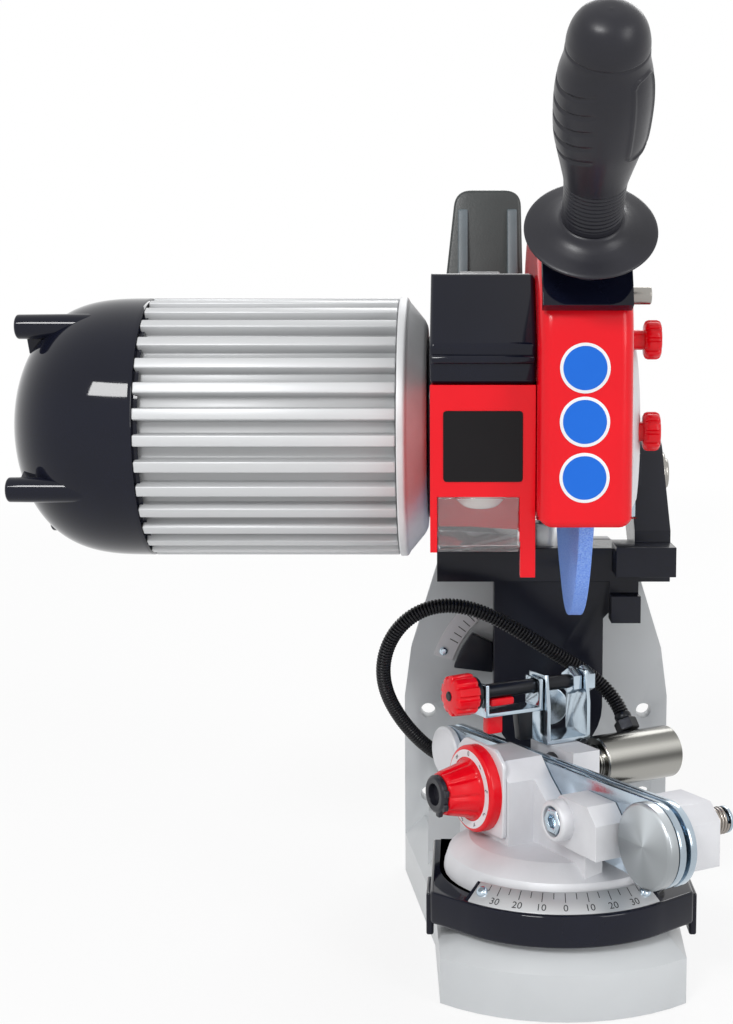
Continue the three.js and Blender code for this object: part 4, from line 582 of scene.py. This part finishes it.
hose_start, hose_end, ribs, rib_steps = on_the_port(20.3), np.array([-46, 102.4, 59]), 150, 6
route = np.array([
    hose_start, (25.2, 52.2, 99.6), (15.5, 50.8, 108.4), (2, 47.8, 117), (-18, 46, 130), (-36, 46, 138),
    (-51, 47.5, 138.5), (-64, 50, 131), (-72, 54.5, 117), (-73, 61.5, 101), (-67.2, 71, 85.4),
    (-61.4, 76.6, 75.6), (-53.6, 83.6, 66.4), (-47.4, 92.6, 60.2), hose_end,
])
hose_line = sprung(smooth_route(route, 301), on_the_port(1) - on_the_port(0), np.array([0, 1, 0]), 11)
hose_line = smooth_route(hose_line, ribs * rib_steps + 1)
rib = np.abs(np.sin(np.linspace(0, ribs * pi, len(hose_line))))
hose = skin("ribbed_hose", drawn_grid(hose_line, 2.55 + 0.75 * rib**0.6, 14), crisp=80)
hose_black = coated("hose_black", (0.006, 0.006, 0.008), 0.27, grain=0.01, size=0.6, mottle=0.15, shine=0.26)
hose.data.materials.append(hose_black)
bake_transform(hose)
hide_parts("hydraulic_hose")
for name, body, solid, start, end, radius, steel in (
    ("hose_port", "vise", "hose_fitting", on_the_port(11.3), on_the_port(17), 5.0, dark_steel),
    ("hose_bulkhead", "base", "hose_bulkhead",
     np.array([-46, 108.7, 59]), np.array([-46, 104.4, 59]), 5.5, zinc),
):
    line = start + (end - start) * np.array([0, 0.04, 0.12, 0.88, 0.96, 1])[:, None]
    nut = drawn_grid(line, radius * np.array([0.86, 0.94, 1, 1, 0.94, 0.86]), 6)
    skin(f"{name}_nut", nut, steel, body, "zinc_steel", solid, crisp=25)
    line = end + (end - start) / np.linalg.norm(end - start) * np.linspace(0, 3, 5)[:, None]
    skin(f"{name}_ferrule", drawn_grid(line, [3.4, 3.7, 3.7, 3.7, 3.3], 28), steel, body, "zinc_steel")


# The chain stop: a bracket of 1.6 mm sheet folded to a channel, a blackened rod through its two ears with a
# nut at the back, the carrier that turns on the rod with its pawl, and a red fluted knob on the rod's front
# end.

stop_axis = (-22, 110)
dressed_casting("stop_bracket_sheet", "stop_bracket", zinc, "vise", "zinc_steel", edge=0.35, segments=2)
dressed_casting("stop_carrier_sheet", "stop_carrier", zinc, "chain_stop", "zinc_steel", edge=0.35, segments=2)
dressed_casting("stop_pawl_tongue", "stop_pawl", dark_steel, "chain_stop", "dark_steel", edge=0.4, segments=2)
for name, low, high, bottom, top in (("cheek", -19.5, -8.5, 103.8, 106.9), ("tip", -21, -14, 92.5, 101.8)):
    lever = rounded([(low, bottom), (high, bottom), (high, top), (low, top)], 1)
    skin(f"stop_lever_{name}", on_the_vise(slab_grid("x", lever, -24.2, -19.8, 0.6)),
         red_plastic, "chain_stop", "red_plastic")
rod = [(0, -33.2), (3, -33.2), (3, 30), (2.2, 31), (0, 31)]
pin = [(0, -38.6), (1.5, -38.6), (2.0, -38.2), (2.0, -37.8), (0, -37.8)]
washer = [(0, -27.3), (6.8, -27.3), (6.8, -25.6), (0, -25.6)]
knob = [(-38, 0, 0), (-38, 5.5, 0), (-37.6, 7.4, 0.63), (-37, 8.2, 0.9), (-29, 8.5, 0.9), (-28, 8.2, 0.9),
        (-27.6, 7.6, 0.63), (-27.4, 0, 0)]
skin("stop_rod_bar", on_the_vise(turned_grid("y", rod, stop_axis, 24, 0.3)),
     dark_steel, "vise", "dark_steel", "stop_rod")
for name, low, radius in (("rear", 25.5, 6), ("inner", 19, 5.6)):
    nut = slab_grid("y", hexagon(stop_axis, radius, 30), low, low + 4.2, 0.5)
    skin(f"stop_nut_{name}", on_the_vise(nut), zinc, "vise", "zinc_steel")
skin("stop_knob_grip", on_the_vise(fluted_grid("y", knob, stop_axis, 10, 2.4, 0.7)),
     red_plastic, "chain_knob", "red_plastic", "stop_knob", ends=False, crisp=50)
skin("stop_knob_pin", on_the_vise(turned_grid("y", pin, stop_axis, 20)),
     dark_steel, "chain_knob", "dark_steel")
skin("stop_knob_washer", on_the_vise(turned_grid("y", washer, stop_axis, 32, 0.4)),
     dark_steel, "chain_knob", "dark_steel")


# The yoke: a casting painted satin black that leans on the tilt bolt, with two ears for the head's pivot
# shaft. The shaft is ground steel with a collar outside each ear. With it come the turned master cylinder and
# its plunger, the lever that clamps the tilt, and the spindle of the vise.

black_casting = coated("black_casting", (0.010, 0.011, 0.018), 0.24, grain=0.007, size=1.6, mottle=0.12,
                       shine=0.26)
dressed_casting("yoke", "tilt_yoke", black_casting, "column", "black_casting", edge=1.6)
dressed_casting("pivot_pin", "pivot_shaft", ground_steel, "column", "zinc_steel", edge=0.8)
dressed_casting("master_barrel", "master_cylinder", brushed_aluminium, "column", "brushed_aluminium",
                edge=0.5)
dressed_casting("plunger_pin", "master_plunger", ground_steel, "plunger", "zinc_steel", edge=0.6)
dressed_casting("lever", "tilt_lock_lever", black_gloss, "tilt_lever", "black_gloss", edge=0.6)
dressed_casting("spindle", "swivel_spindle", ground_steel, "base", "zinc_steel", edge=0.6)
dressed_casting("tilt_bolt_head", "tilt_bolt", zinc, "base", "zinc_steel", edge=0.5)


# The tilt scale: a stamped aluminium arc on the back plate, left of the yoke, held by a screw. A black
# pointer cast on the yoke's side moves along its inner edge.

tilt_axis = np.array([0, 88])
scale_grey = coated("scale_grey", (0.64, 0.63, 0.65), 0.45, metallic=0.2, mottle=0.04)
plate = np.concatenate([arc(tilt_axis, 55, 133, 162, 20), arc(tilt_axis, 45.5, 162, 133, 20)])
plate = rounded(plate, 0.4, steps=1)
screw = [(0, 107.9), (2.0, 107.9), (2.0, 107.0), (1.2, 106.4), (0, 106.4)]
pointer = rounded(np.concatenate([arc(tilt_axis, 44.5, 140, 164, 12), [(-24.6, 98), (-24.6, 112)]]), 0.8)
skin("tilt_scale_plate", slab_grid("y", plate, 107.8, 108.9, 0.2, 1), scale_grey, "base", "brushed_aluminium")
skin("tilt_scale_screw", turned_grid("y", screw, (-47.6, 106.8), 24, 0.3), zinc, "base", "zinc_steel")
skin("tilt_pointer", slab_grid("y", pointer, 100.5, 105, 0.5), black_casting, "column", "black_casting")
for degrees in range(135, 155, 4):
    out, across = heading(degrees), heading(degrees + 90) * 0.2
    outer, inner = tilt_axis + out * 50.8, tilt_axis + out * 46.6
    mark = [outer - across, outer + across, inner + across, inner - across]
    skin(f"tilt_mark_{degrees}", slab_grid("y", mark, 107.7, 107.82, 0.01, 1),
         black_ink, "base", "dark_steel")


# The swing arm: an iron casting painted as the yoke is, with the hub on the pivot shaft, the round housing
# behind the motor's flange and the lug of the depth-stop screw. A wound spring on the shaft lifts the head.

dressed_casting("arm", "swing_arm", black_casting, "head", "black_casting", edge=1.4)
dressed_casting("depth_screw", "depth_stop_screw", zinc, "stop_screw", "zinc_steel", edge=0.5)
skin("lift_spring_wire", drawn_grid(coil("x", (118, 190), 11, 3, -32.5, 4.5, 260), 0.8, 10),
     dark_steel, "head", "dark_steel", "return_spring")


# The motor: an extruded aluminium body with thirty-two cooling fins, a die-cast flange, and a glossy moulded
# cap with four screw posts. Fins and flange are bright and a little brushed along their length.


def sleeve_grid(axis, outline, bore, centre, low, high, edge, steps):
    """A slab with a round bore: the outer outline as in a slab, then the bore's circle at both ends, closed
    on itself. Each bore point lies at the same angle as its outline point."""
    outer = slab_grid(axis, outline, low, high, edge, steps)
    o = np.asarray(outline, float) - centre
    hole = around(axis, centre, bore, np.arctan2(o[:, 1], o[:, 0])[None], np.array([[high], [low]]))
    return np.concatenate([outer, hole])


def shaded_deep(material, centre, near, far, share):
    """Painted shade: darkens a colour between two distances from an axis along X, towards the foot of a fin:
    all of the share at near, none at far. Distances in mm."""
    tree = material.node_tree
    shader = tree.nodes["Principled BSDF"]
    colour = shader.inputs["Base Color"].links[0].from_socket
    place, axis = node(tree, "TexCoord").outputs["Object"], (0, centre[0] * 0.001, centre[1] * 0.001)
    away = node(tree, "VectorMath", {0: place, 1: axis}, "SUBTRACT").outputs["Vector"]
    across = node(tree, "VectorMath", {0: away, 1: (0, 1, 1)}, "MULTIPLY").outputs["Vector"]
    reach = node(tree, "VectorMath", {0: across}, "LENGTH").outputs["Value"]
    depth = node(tree, "MapRange", {"Value": reach, "From Min": near * 0.001, "From Max": far * 0.001,
                                    "To Min": 1 - share, "To Max": 1}).outputs["Result"]
    mixed = node(tree, "VectorMath", {0: colour, "Scale": depth}, "SCALE")
    fed(tree, shader, {"Base Color": mixed.outputs["Vector"]})


motor_axis, fin_count = np.array([10, 217.5]), 32
fin = np.arange(fin_count)[:, None] * 2 * pi / fin_count
shares = np.array([0.04, 0.46, 0.52, 0.98])[None] * 2 * pi / fin_count
radii = np.array([[51, 51, 46.6, 46.6]])
turn = fin + shares
fin_corners = motor_axis + np.stack([radii * np.cos(turn), radii * np.sin(turn)], -1).reshape(-1, 2)
fin_aluminium = coated("fin_aluminium", (0.60, 0.61, 0.62), 0.44, metallic=0.3, grain=0.012, size=0.8,
                       stretch=(0.03, 1, 1), mottle=0.05)
# Painted shade between the fins: the colour darkens towards their foot.
shaded_deep(fin_aluminium, motor_axis, 46.8, 50.6, 0.34)
fins = sleeve_grid("x", rounded(fin_corners, 0.5, steps=2), 45, motor_axis, -160, -63.3, 0.5, 2)
skin("motor_fins", fins, fin_aluminium, "head", "brushed_aluminium", "motor_housing", ring=True, crisp=50)
flange_casting = coated("flange_casting", (0.74, 0.75, 0.76), 0.55, metallic=0.3, grain=0.03, size=0.8,
                        mottle=0.1)
bell = [(8.3, -63), (51.2, -63), (51.5, -62.6), (51.5, -60), (49.8, -59.2), (42.5, -53.2), (40, -52),
        (8.3, -52)]
skin("motor_bell", turned_grid("x", rounded(bell, 0.9), motor_axis, 128),
     flange_casting, "head", "cast_aluminium", "motor_flange", ring=True)
share = np.linspace(0, 1, 40)
dome = np.column_stack([51 * np.sqrt(np.clip(1 - share**3.2, 0, 1)), -160.3 - 54.5 * share])
dome = np.vstack([[(48.5, -160.3), (50.6, -160.3), (51, -161)], dome[1:-1]])
inside = dome[2:] * (0.952, 1) + (0, 2.6)
dome = np.vstack([dome, [(2, -214.8), (0, -214.8), (0, -212.2)], inside[::-1]])
skin("motor_cap", turned_grid("x", dome, motor_axis, 128),
     black_gloss, "head", "black_gloss", "motor_end_cap", ring=True, crisp=30)
tube = [(0, -206.5), (2.3, -206.5), (2.3, -209.5), (3.8, -209.5), (4.7, -208.8), (5.0, -178), (0, -178)]
screw = [(0, -207.6), (1.9, -207.6), (1.9, -205), (0, -205)]
for post in range(4):
    out, across = heading(118.5 + 90 * post), heading(208.5 + 90 * post) * 1.2
    inner, centre = motor_axis + 34 * out, motor_axis + 45 * out
    web = slab_grid("x", [inner - across, inner + across, centre + across, centre - across], -206, -183, 0.5)
    skin(f"cap_post_{post}", turned_grid("x", tube, centre, 32, 0.5), black_gloss, "head", "black_gloss")
    skin(f"cap_web_{post}", web, black_gloss, "head", "black_gloss")
    skin(f"cap_screw_{post}", turned_grid("x", screw, centre, 16, 0.3), zinc, "head", "zinc_steel")


# Inside the motor, out of sight: a laminated stator with varnished windings, the rotor on its ground shaft, a
# moulded fan and a cast bearing shield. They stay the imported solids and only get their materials.

winding = coated("winding", (0.42, 0.18, 0.08), 0.4, metallic=0.6, grain=0.2, size=1.2, mottle=0.2)
fan_plastic = coated("fan_plastic", (0.05, 0.05, 0.05), 0.5, grain=0.02, size=1, mottle=0.1)
for solid, material in (("stator", winding), ("rotor_core", dark_steel), ("cooling_fan", fan_plastic),
                        ("rear_bearing_shield", cast_aluminium), ("motor_shaft", ground_steel)):
    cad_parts[solid].data.materials.clear()
    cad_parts[solid].data.materials.append(material)


# The grinding wheel: vitrified blue abrasive pressed to a disc and dressed to a bevel for the chain's
# gullets. Its grit stands proud of the bond and sparkles a little; a steel flange and nut clamp it on the
# shaft.

blue_abrasive, tree, shader = fresh_material("blue_abrasive")
place = node(tree, "TexCoord").outputs["Object"]
bond = node(tree, "TexNoise", {"Vector": place, "Scale": 1700, "Detail": 8})
grit = node(tree, "TexVoronoi", {"Vector": place, "Scale": 1500})
bump = node(tree, "Bump", {"Height": grit.outputs["Distance"], "Distance": 0.0003})
blues = ramp(tree, bond.outputs["Fac"], [(0.3, (0.12, 0.26, 0.85)), (0.72, (0.33, 0.53, 1.0))])
fed(tree, shader, {"Base Color": blues, "Roughness": 0.9, "Normal": bump.outputs["Normal"]})
tread = rounded([(8.3, 2), (63, 2), (75, 3.4), (75, 8.6), (63, 10), (8.3, 10)], 0.5)
skin("abrasive_wheel", turned_grid("x", tread, motor_axis, 160),
     blue_abrasive, "rotor", "wheel_blue", "grinding_wheel", ring=True)
dressed_casting("clamp_flange", "wheel_flange", ground_steel, "rotor", "zinc_steel", edge=0.6)
dressed_casting("clamp_nut", "wheel_nut", zinc, "rotor", "zinc_steel", edge=0.5)


# The wheel guard: one red injection moulding, open below, its front corner round and its edges moulded with a
# 5 mm radius. A hole in each side lets the shaft and the spanner through; the right one has a grey cover.

guard_left, guard_right, guard_front, guard_edge = -12, 21, -74, 5
guard_outline = np.concatenate([
    np.column_stack([np.full(14, guard_front), np.linspace(172, 248, 14)]), arc((-34, 250), 40, 180, 105, 14),
    arc(motor_axis, 84.5, 100, -24, 44),
    np.column_stack([np.linspace(87.2, guard_front, 40)[1:-1], np.linspace(183.1, 172, 40)[1:-1]]),
])
shell_grid = slab_grid("x", guard_outline, guard_left, guard_right, guard_edge, 6)
spoke = guard_outline - motor_axis
angle = np.arctan2(spoke[:, 1], spoke[:, 0])
left_hole = around("x", motor_axis, 24, angle, guard_left)
right_hole = around("x", motor_axis, 36, angle, guard_right)
outwards = np.linspace(0, 1, 8)[:-1, None, None]
left_wall = left_hole[None] * (1 - outwards) + shell_grid[0][None] * outwards
right_wall = (right_hole[None] * (1 - outwards) + shell_grid[-1][None] * outwards)[::-1]
guard = skin("guard_shell", np.concatenate([left_wall, shell_grid, right_wall]), ends=False, crisp=50)
cut_height, cut_slope, cut_front, cut_fade = 0.187, 0.0772, guard_front * 0.001, 0.012
round_low, round_high = (guard_left + guard_edge) * 0.001, (guard_right - guard_edge) * 0.001
shape = bmesh.new()
shape.from_mesh(guard.data)
bmesh.ops.bisect_plane(shape, geom=shape.verts[:] + shape.edges[:] + shape.faces[:],
                       plane_co=(0, cut_front, cut_height), plane_no=(0, cut_slope, -1), clear_outer=True)
shape.to_mesh(guard.data)
shape.free()
points = np.empty((len(guard.data.vertices), 3))
guard.data.vertices.foreach_get("co", points.ravel())
x, y, z = points.T
on_the_cut = np.abs(z - (cut_height + (y - cut_front) * cut_slope)) < 1e-4
corner = np.clip(np.maximum(round_low - x, x - round_high) * 1000 / guard_edge, 0, 1)
fading = np.clip(1 - (y - cut_front) / cut_fade, 0, None)
z += on_the_cut * fading * guard_edge * 0.001 * (1 - np.sqrt(1 - corner**2))
guard.data.vertices.foreach_set("co", points.ravel())
wall = guard.modifiers.new("wall", "SOLIDIFY")
wall.thickness = 0.0024
wall.offset = -1
fitted(guard, red_plastic, "head", "red_plastic", "wheel_guard")


# The side cover over the wheel's nut: a shallow aluminium pressing, trimmed to the guard's outline. A steel
# pin beside it stops the guard's lid, and two red knobs on studs hold it.

dressed_casting("side_cover", "wheel_side_cover", cast_aluminium, "head", "cast_aluminium", edge=0.9)
pin = [(0, 29.2), (1.9, 29.2), (1.9, 30.3), (2.9, 30.3), (3.3, 29.9), (3.3, 20.6), (0, 20.6)]
skin("cover_pin", turned_grid("x", pin, (-40, 268), 36, 0.2), ground_steel, "head", "zinc_steel")
knob = [(20.6, 3.7, 0), (28.9, 3.7, 0), (29.0, 6.0, 0.5), (29.5, 6.9, 1), (30.5, 7.3, 1), (33.6, 7.3, 1),
        (34.6, 6.9, 0.8), (35.1, 6.2, 0.4), (35.2, 5.1, 0), (35.2, 0, 0)]
for name, z in (("high", 252), ("low", 218)):
    skin(f"cover_knob_{name}_grip", fluted_grid("x", knob, (-30, z), 10, 2.4, 0.7),
         red_plastic, f"{name}_knob", "red_plastic", f"cover_knob_{name}", crisp=50)


# Three round plates one above the other, stuck on the guard's flat front. Each is a printed blue disc inside
# a white rim, and bare.

sign_blue = coated("sign_blue", (0.004, 0.125, 0.60), 0.35, mottle=0.02, shine=0.3)
rim = [(0, -74.02), (8.7, -74.02), (8.7, -74.2), (8.5, -74.3), (0, -74.3)]
face = [(0, -74.3), (7.6, -74.3), (7.6, -74.36), (0, -74.36)]
for name, z in (("top", 242.2), ("middle", 223.7), ("bottom", 204.3)):
    skin(f"sign_rim_{name}", turned_grid("y", rim, (3.9, z), 64), white_ink, "head", "clear_plastic")
    skin(f"sign_face_{name}", turned_grid("y", face, (3.9, z), 64), sign_blue, "head", "wheel_blue")


# The handle: a glossy black saddle moulded to the guard's corner, a satin flared shield and a grip of tough
# rubber with fine rings round its neck, curved finger ridges on the left and a raised bare frame on the
# right.

dressed_casting("handle_saddle", "handle_bracket", black_gloss, "head", "black_gloss", edge=1.0)
handle_foot, handle_lean = np.array([5.0, -34.0, 250.0]), radians(139)
handle_way = np.array([0.0, cos(handle_lean), sin(handle_lean)])
handle_front = np.array([0.0, -sin(handle_lean), cos(handle_lean)])


def on_the_handle(radius, angle, along):
    """Points round the handle's axis: foot + (58.3 + along) d + radius (cos angle X + sin angle f), where d
    is the handle's direction and f is square to it, towards the user."""
    radius, angle, along = (a[..., None] for a in np.broadcast_arrays(radius, angle, along))
    across = np.cos(angle) * np.array([1.0, 0, 0]) + np.sin(angle) * handle_front
    return handle_foot + (58.3 + along) * handle_way + radius * across


flare = rounded([(0, 0.6), (20, 0.6), (22.2, 0.2), (22.8, 0.7), (22.6, 1.3), (20.5, 1.9), (17, 2.8),
                 (14, 3.9), (12, 5.2), (10.9, 7.0), (0, 7.0)], 1.2, closed=False)
turn = np.linspace(0, 2 * pi, 120, endpoint=False)[None]
skin("handle_shield_flare", on_the_handle(flare[:, :1], turn, flare[:, 1:]),
     handle_black, "head", "handle_black", "handle_shield", crisp=50)
spine = np.array([(10.4, 7.3), (10.3, 12), (10.3, 18), (10.6, 24), (11.8, 30), (13.4, 37), (14.8, 44),
                  (15.3, 51), (15.3, 60), (14.6, 67), (13.2, 73), (12.9, 76.4), (12.5, 80), (11.2, 84),
                  (8.6, 87.4), (4.6, 89.3), (0.0, 89.8)])
spine = smooth_route(np.column_stack([spine, np.zeros(len(spine))]), 330)[:, :2]
along, reach = spine[:, 1:], np.maximum(spine[:, :1], 0)
ring_pitch, ridge_pitch = 1.7, 6.2
ridge_angle, ridge_spread, frame_angle = radians(165), radians(62), radians(36)
neck = ((along > 9) & (along < 25)) * (0.35 + 0.65 * (np.cos(turn - 0.3) > -0.35))
rings = 0.28 * np.clip(np.sin(along * 2 * pi / ring_pitch), 0, 1) * neck
aside = ((turn - ridge_angle) / ridge_spread) ** 2
bowed = along - 3.5 * aside
ridges = 0.75 * np.clip(np.cos((bowed - 40) * 2 * pi / ridge_pitch) - 0.62, 0, 1) / 0.38
ridges = ridges * np.sqrt(np.clip(1 - aside, 0, 1)) * ((bowed > 37) & (bowed < 70))
away_s, away_t = np.abs(along - 56.5) - 11.5, np.abs((turn - frame_angle) * 15.3) - 2.2
outside = (np.hypot(np.clip(away_s, 0, None), np.clip(away_t, 0, None))
           + np.minimum(np.maximum(away_s, away_t), 0))
bare_frame = 0.55 * np.exp(-(((outside - 3.6) / 0.55) ** 4))
seam = 0.35 * np.exp(-(((along - 76.6) / 0.35) ** 2))
grip_reach = np.where(reach > 0.01, reach - rings - ridges + bare_frame - seam, 0)
skin("handle_grip_rubber", on_the_handle(grip_reach, turn, along),
     handle_black, "head", "handle_black", "handle_grip", crisp=75)


# The lamp: a red moulded housing with a leg at its right, a bare black plate on its front, and below it a
# clear cover bent from 2 mm sheet. Behind the cover a small pear-shaped bulb hangs in a black screw socket.

dressed_casting("lamp_body", "lamp_housing", red_plastic, "head", "red_plastic", edge=1.3, segments=4)
label_black = coated("label_black", (0.006, 0.005, 0.006), 0.3, mottle=0.1, shine=0.18)
plate = rounded([(-45.3, 201.5), (-16.9, 201.5), (-16.9, 226.8), (-45.3, 226.8)], 1.4)
skin("lamp_plate", slab_grid("y", plate, -58.4, -57.95, 0.1, 1), label_black, "head", "black_gloss")
clear = coated("clear_plastic", (0.95, 0.96, 0.97), 0.06, mottle=0.01, spread=0.02)
fed(clear.node_tree, clear.node_tree.nodes["Principled BSDF"], {"Transmission Weight": 0.95, "IOR": 1.45})
dressed_casting("lamp_cover", "lamp_lens", clear, "head", "clear_plastic", edge=0.4, segments=2)
opal = coated("opal_glass", (0.92, 0.90, 0.84), 0.15, mottle=0.02)
bulb_axis = (-32, -42.15)
pear = [(0, 189.3), (6, 189.6), (10.0, 195.5), (10.0, 201), (7.4, 208), (6.5, 212), (6.5, 216.4), (0, 216.4)]
cup = rounded([(6.6, 216.2), (9.5, 216.2), (9.5, 233.2), (0, 233.2), (0, 231), (6.6, 231)], 0.6)
skin("lamp_bulb_glass", turned_grid("z", pear, bulb_axis, 48, 3),
     opal, "head", "clear_plastic", "lamp_bulb", crisp=60)
skin("lamp_socket", turned_grid("z", cup, bulb_axis, 40), handle_black, "head", "black_gloss", ring=True)


# The hood over the lamp and arm: one glossy black moulding with a bead along its front edge. The power
# rocker, a satin black moulding, is let into its top.

dressed_casting("hood", "lamp_hood", black_gloss, "head", "black_gloss", edge=1.5, segments=4)
bead = rounded([(-57.5, 243.2), (-60.0, 243.6), (-60.7, 245.2), (-60.0, 246.6), (-57.5, 246.8)], 0.8)
skin("hood_bead", slab_grid("x", bead, -49.4, -12.9, 0.5), black_gloss, "head", "black_gloss")
dressed_casting("rocker_key", "power_rocker", handle_black, "rocker", "dark_plastic", edge=0.7)


# The electrics box: a dark grey moulding with a fine spark grain, narrower at the top, two ribs on its front
# and a flat lid screwed on behind, with the gland for the cord.

dark_plastic = coated("dark_plastic", (0.035, 0.04, 0.04), 0.36, grain=0.05, size=0.9, mottle=0.15, shine=0.4)
rib_plastic = coated("rib_plastic", (0.10, 0.125, 0.14), 0.4, grain=0.03, size=0.9, mottle=0.15)
box_bottom, box_front, box_back, lean_back, lean_rise = 247, 60, 96.6, 12, 70
box_top = rounded([(-12.6, 280), (-13.4, 316.8), (-41.6, 316.8), (-45.6, 280)], 7, closed=False, steps=8)
box_outline = np.concatenate([[(-46, box_bottom), (-12.6, box_bottom)], box_top])
box_grid = slab_grid("y", box_outline, box_front, box_back, 1.4)
from_back = np.clip((box_back - box_grid[..., 1]) / (box_back - box_front), 0, 1)
box_grid[..., 1] += lean_back * (box_grid[..., 2] - box_bottom) / lean_rise * from_back
skin("electrics_shell", box_grid, dark_plastic, "head", "dark_plastic", "electrics_box")
rib = rounded([(54.2, 249.6), (64, 249.6), (73.6, 308.5), (69.2, 308.5)], 1)
for name, x in (("left", -40.6), ("right", -19.4)):
    skin(f"electrics_rib_{name}", slab_grid("x", rib, x, x + 4.4, 0.7), rib_plastic, "head", "dark_plastic")
skin("electrics_lid", slab_grid("y", box_outline, 97, 100, 0.9),
     dark_plastic, "head", "dark_plastic", "electrics_cover")
gland = [(0, 100.1), (7, 100.1), (7, 103), (5.6, 103.6), (5.6, 106), (4.8, 109), (2.6, 109.2), (2.6, 106),
         (0, 106)]
skin("gland_nut", turned_grid("y", gland, (-29.3, 262), 28, 0.4),
     handle_black, "head", "black_gloss", "cord_gland")


# The photographer's table: a wide sheet of white paper under white air. In the picture, and in what bright
# metal and clear plastic show of it, the paper fades to pure white away from the object.


def seen_in_picture(tree):
    """1 where the camera sees a thing, straight, in a gloss or through glass, and 0 for all other light."""
    rays = node(tree, "LightPath").outputs
    straight, gloss, glass = (rays[f"Is {kind} Ray"] for kind in ("Camera", "Glossy", "Transmission"))
    either = node(tree, "Math", {0: straight, 1: gloss}, "MAXIMUM").outputs["Value"]
    return node(tree, "Math", {0: either, 1: glass}, "MAXIMUM").outputs["Value"]


half, below = 12, -0.0004
floor = bpy.data.meshes.new("floor")
corners = [(-half, -half, below), (half, -half, below), (half, half, below), (-half, half, below)]
floor.from_pydata(corners, [], [(0, 1, 2, 3)])
placed("floor", floor)
paper, tree, shader = fresh_material("white_paper")
fed(tree, shader, {"Base Color": (0.86, 0.86, 0.86, 1), "Roughness": 0.9})
away = node(tree, "VectorMath", {0: node(tree, "TexCoord").outputs["Object"]}, "LENGTH").outputs["Value"]
fade = node(tree, "MapRange", {"Value": away, "From Min": 0.5, "From Max": 2.2, "To Min": 0.82,
                               "To Max": 1.0})
share = node(tree, "Math", {0: seen_in_picture(tree), 1: fade.outputs["Result"]}, "MULTIPLY").outputs["Value"]
glow = node(tree, "Emission", {"Color": (1, 1, 1, 1)}).outputs["Emission"]
looks = node(tree, "MixShader", {"Fac": share, 1: shader.outputs["BSDF"], 2: glow})
fed(tree, tree.nodes["Material Output"], {"Surface": looks.outputs["Shader"]})
floor.materials.append(paper)

world = bpy.data.worlds.new("studio")
bpy.context.scene.world = world
world.use_nodes = True
tree = world.node_tree
tree.nodes.clear()
air, backdrop = (node(tree, "Background", {"Color": (1, 1, 1, 1), "Strength": strength}).outputs["Background"]
                 for strength in (0.55, 1.0))
looks = node(tree, "MixShader", {"Fac": seen_in_picture(tree), 1: air, 2: backdrop})
node(tree, "OutputWorld", {"Surface": looks.outputs["Shader"]})


# The light: three soft boxes turned towards the object, a strong one left of the camera, a tall weaker one
# right of it, and a wide one behind. Places and sizes in metres, power in watts.

for name, spot, aim, size, power in (
    ("key", (-0.7, -1.5, 1.3), (0, 0, 0.18), (0.5, 0.38), 17),
    ("fill", (1.2, -1.3, 0.8), (0, 0, 0.18), (0.6, 1.1), 9),
    ("rim", (0.3, 1.3, 1.3), (0, 0, 0.2), (1.0, 0.6), 9),
):
    lamp = bpy.data.lights.new(name, "AREA")
    lamp.shape = "RECTANGLE"
    lamp.size, lamp.size_y = size
    lamp.energy = power
    stand = placed(name, lamp)
    stand.location = spot
    stand.rotation_euler = (Vector(aim) - Vector(spot)).to_track_quat("-Z", "Y").to_euler()


# The camera: a 54 mm lens 0.6 m in front of the object, at the height of its head and tipped down by 6.2
# degrees, with the frame shifted to the motor's side.

lens = bpy.data.cameras.new("camera")
lens.lens = 53.96
lens.sensor_width = 36
lens.shift_x = -0.0962
camera = placed("camera", lens)
camera.location = (-0.0375, -0.604, 0.250)
camera.rotation_euler = (radians(90 - 6.2), 0, 0)
bpy.context.scene.camera = camera
bpy.context.scene.view_settings.view_transform = "Standard"
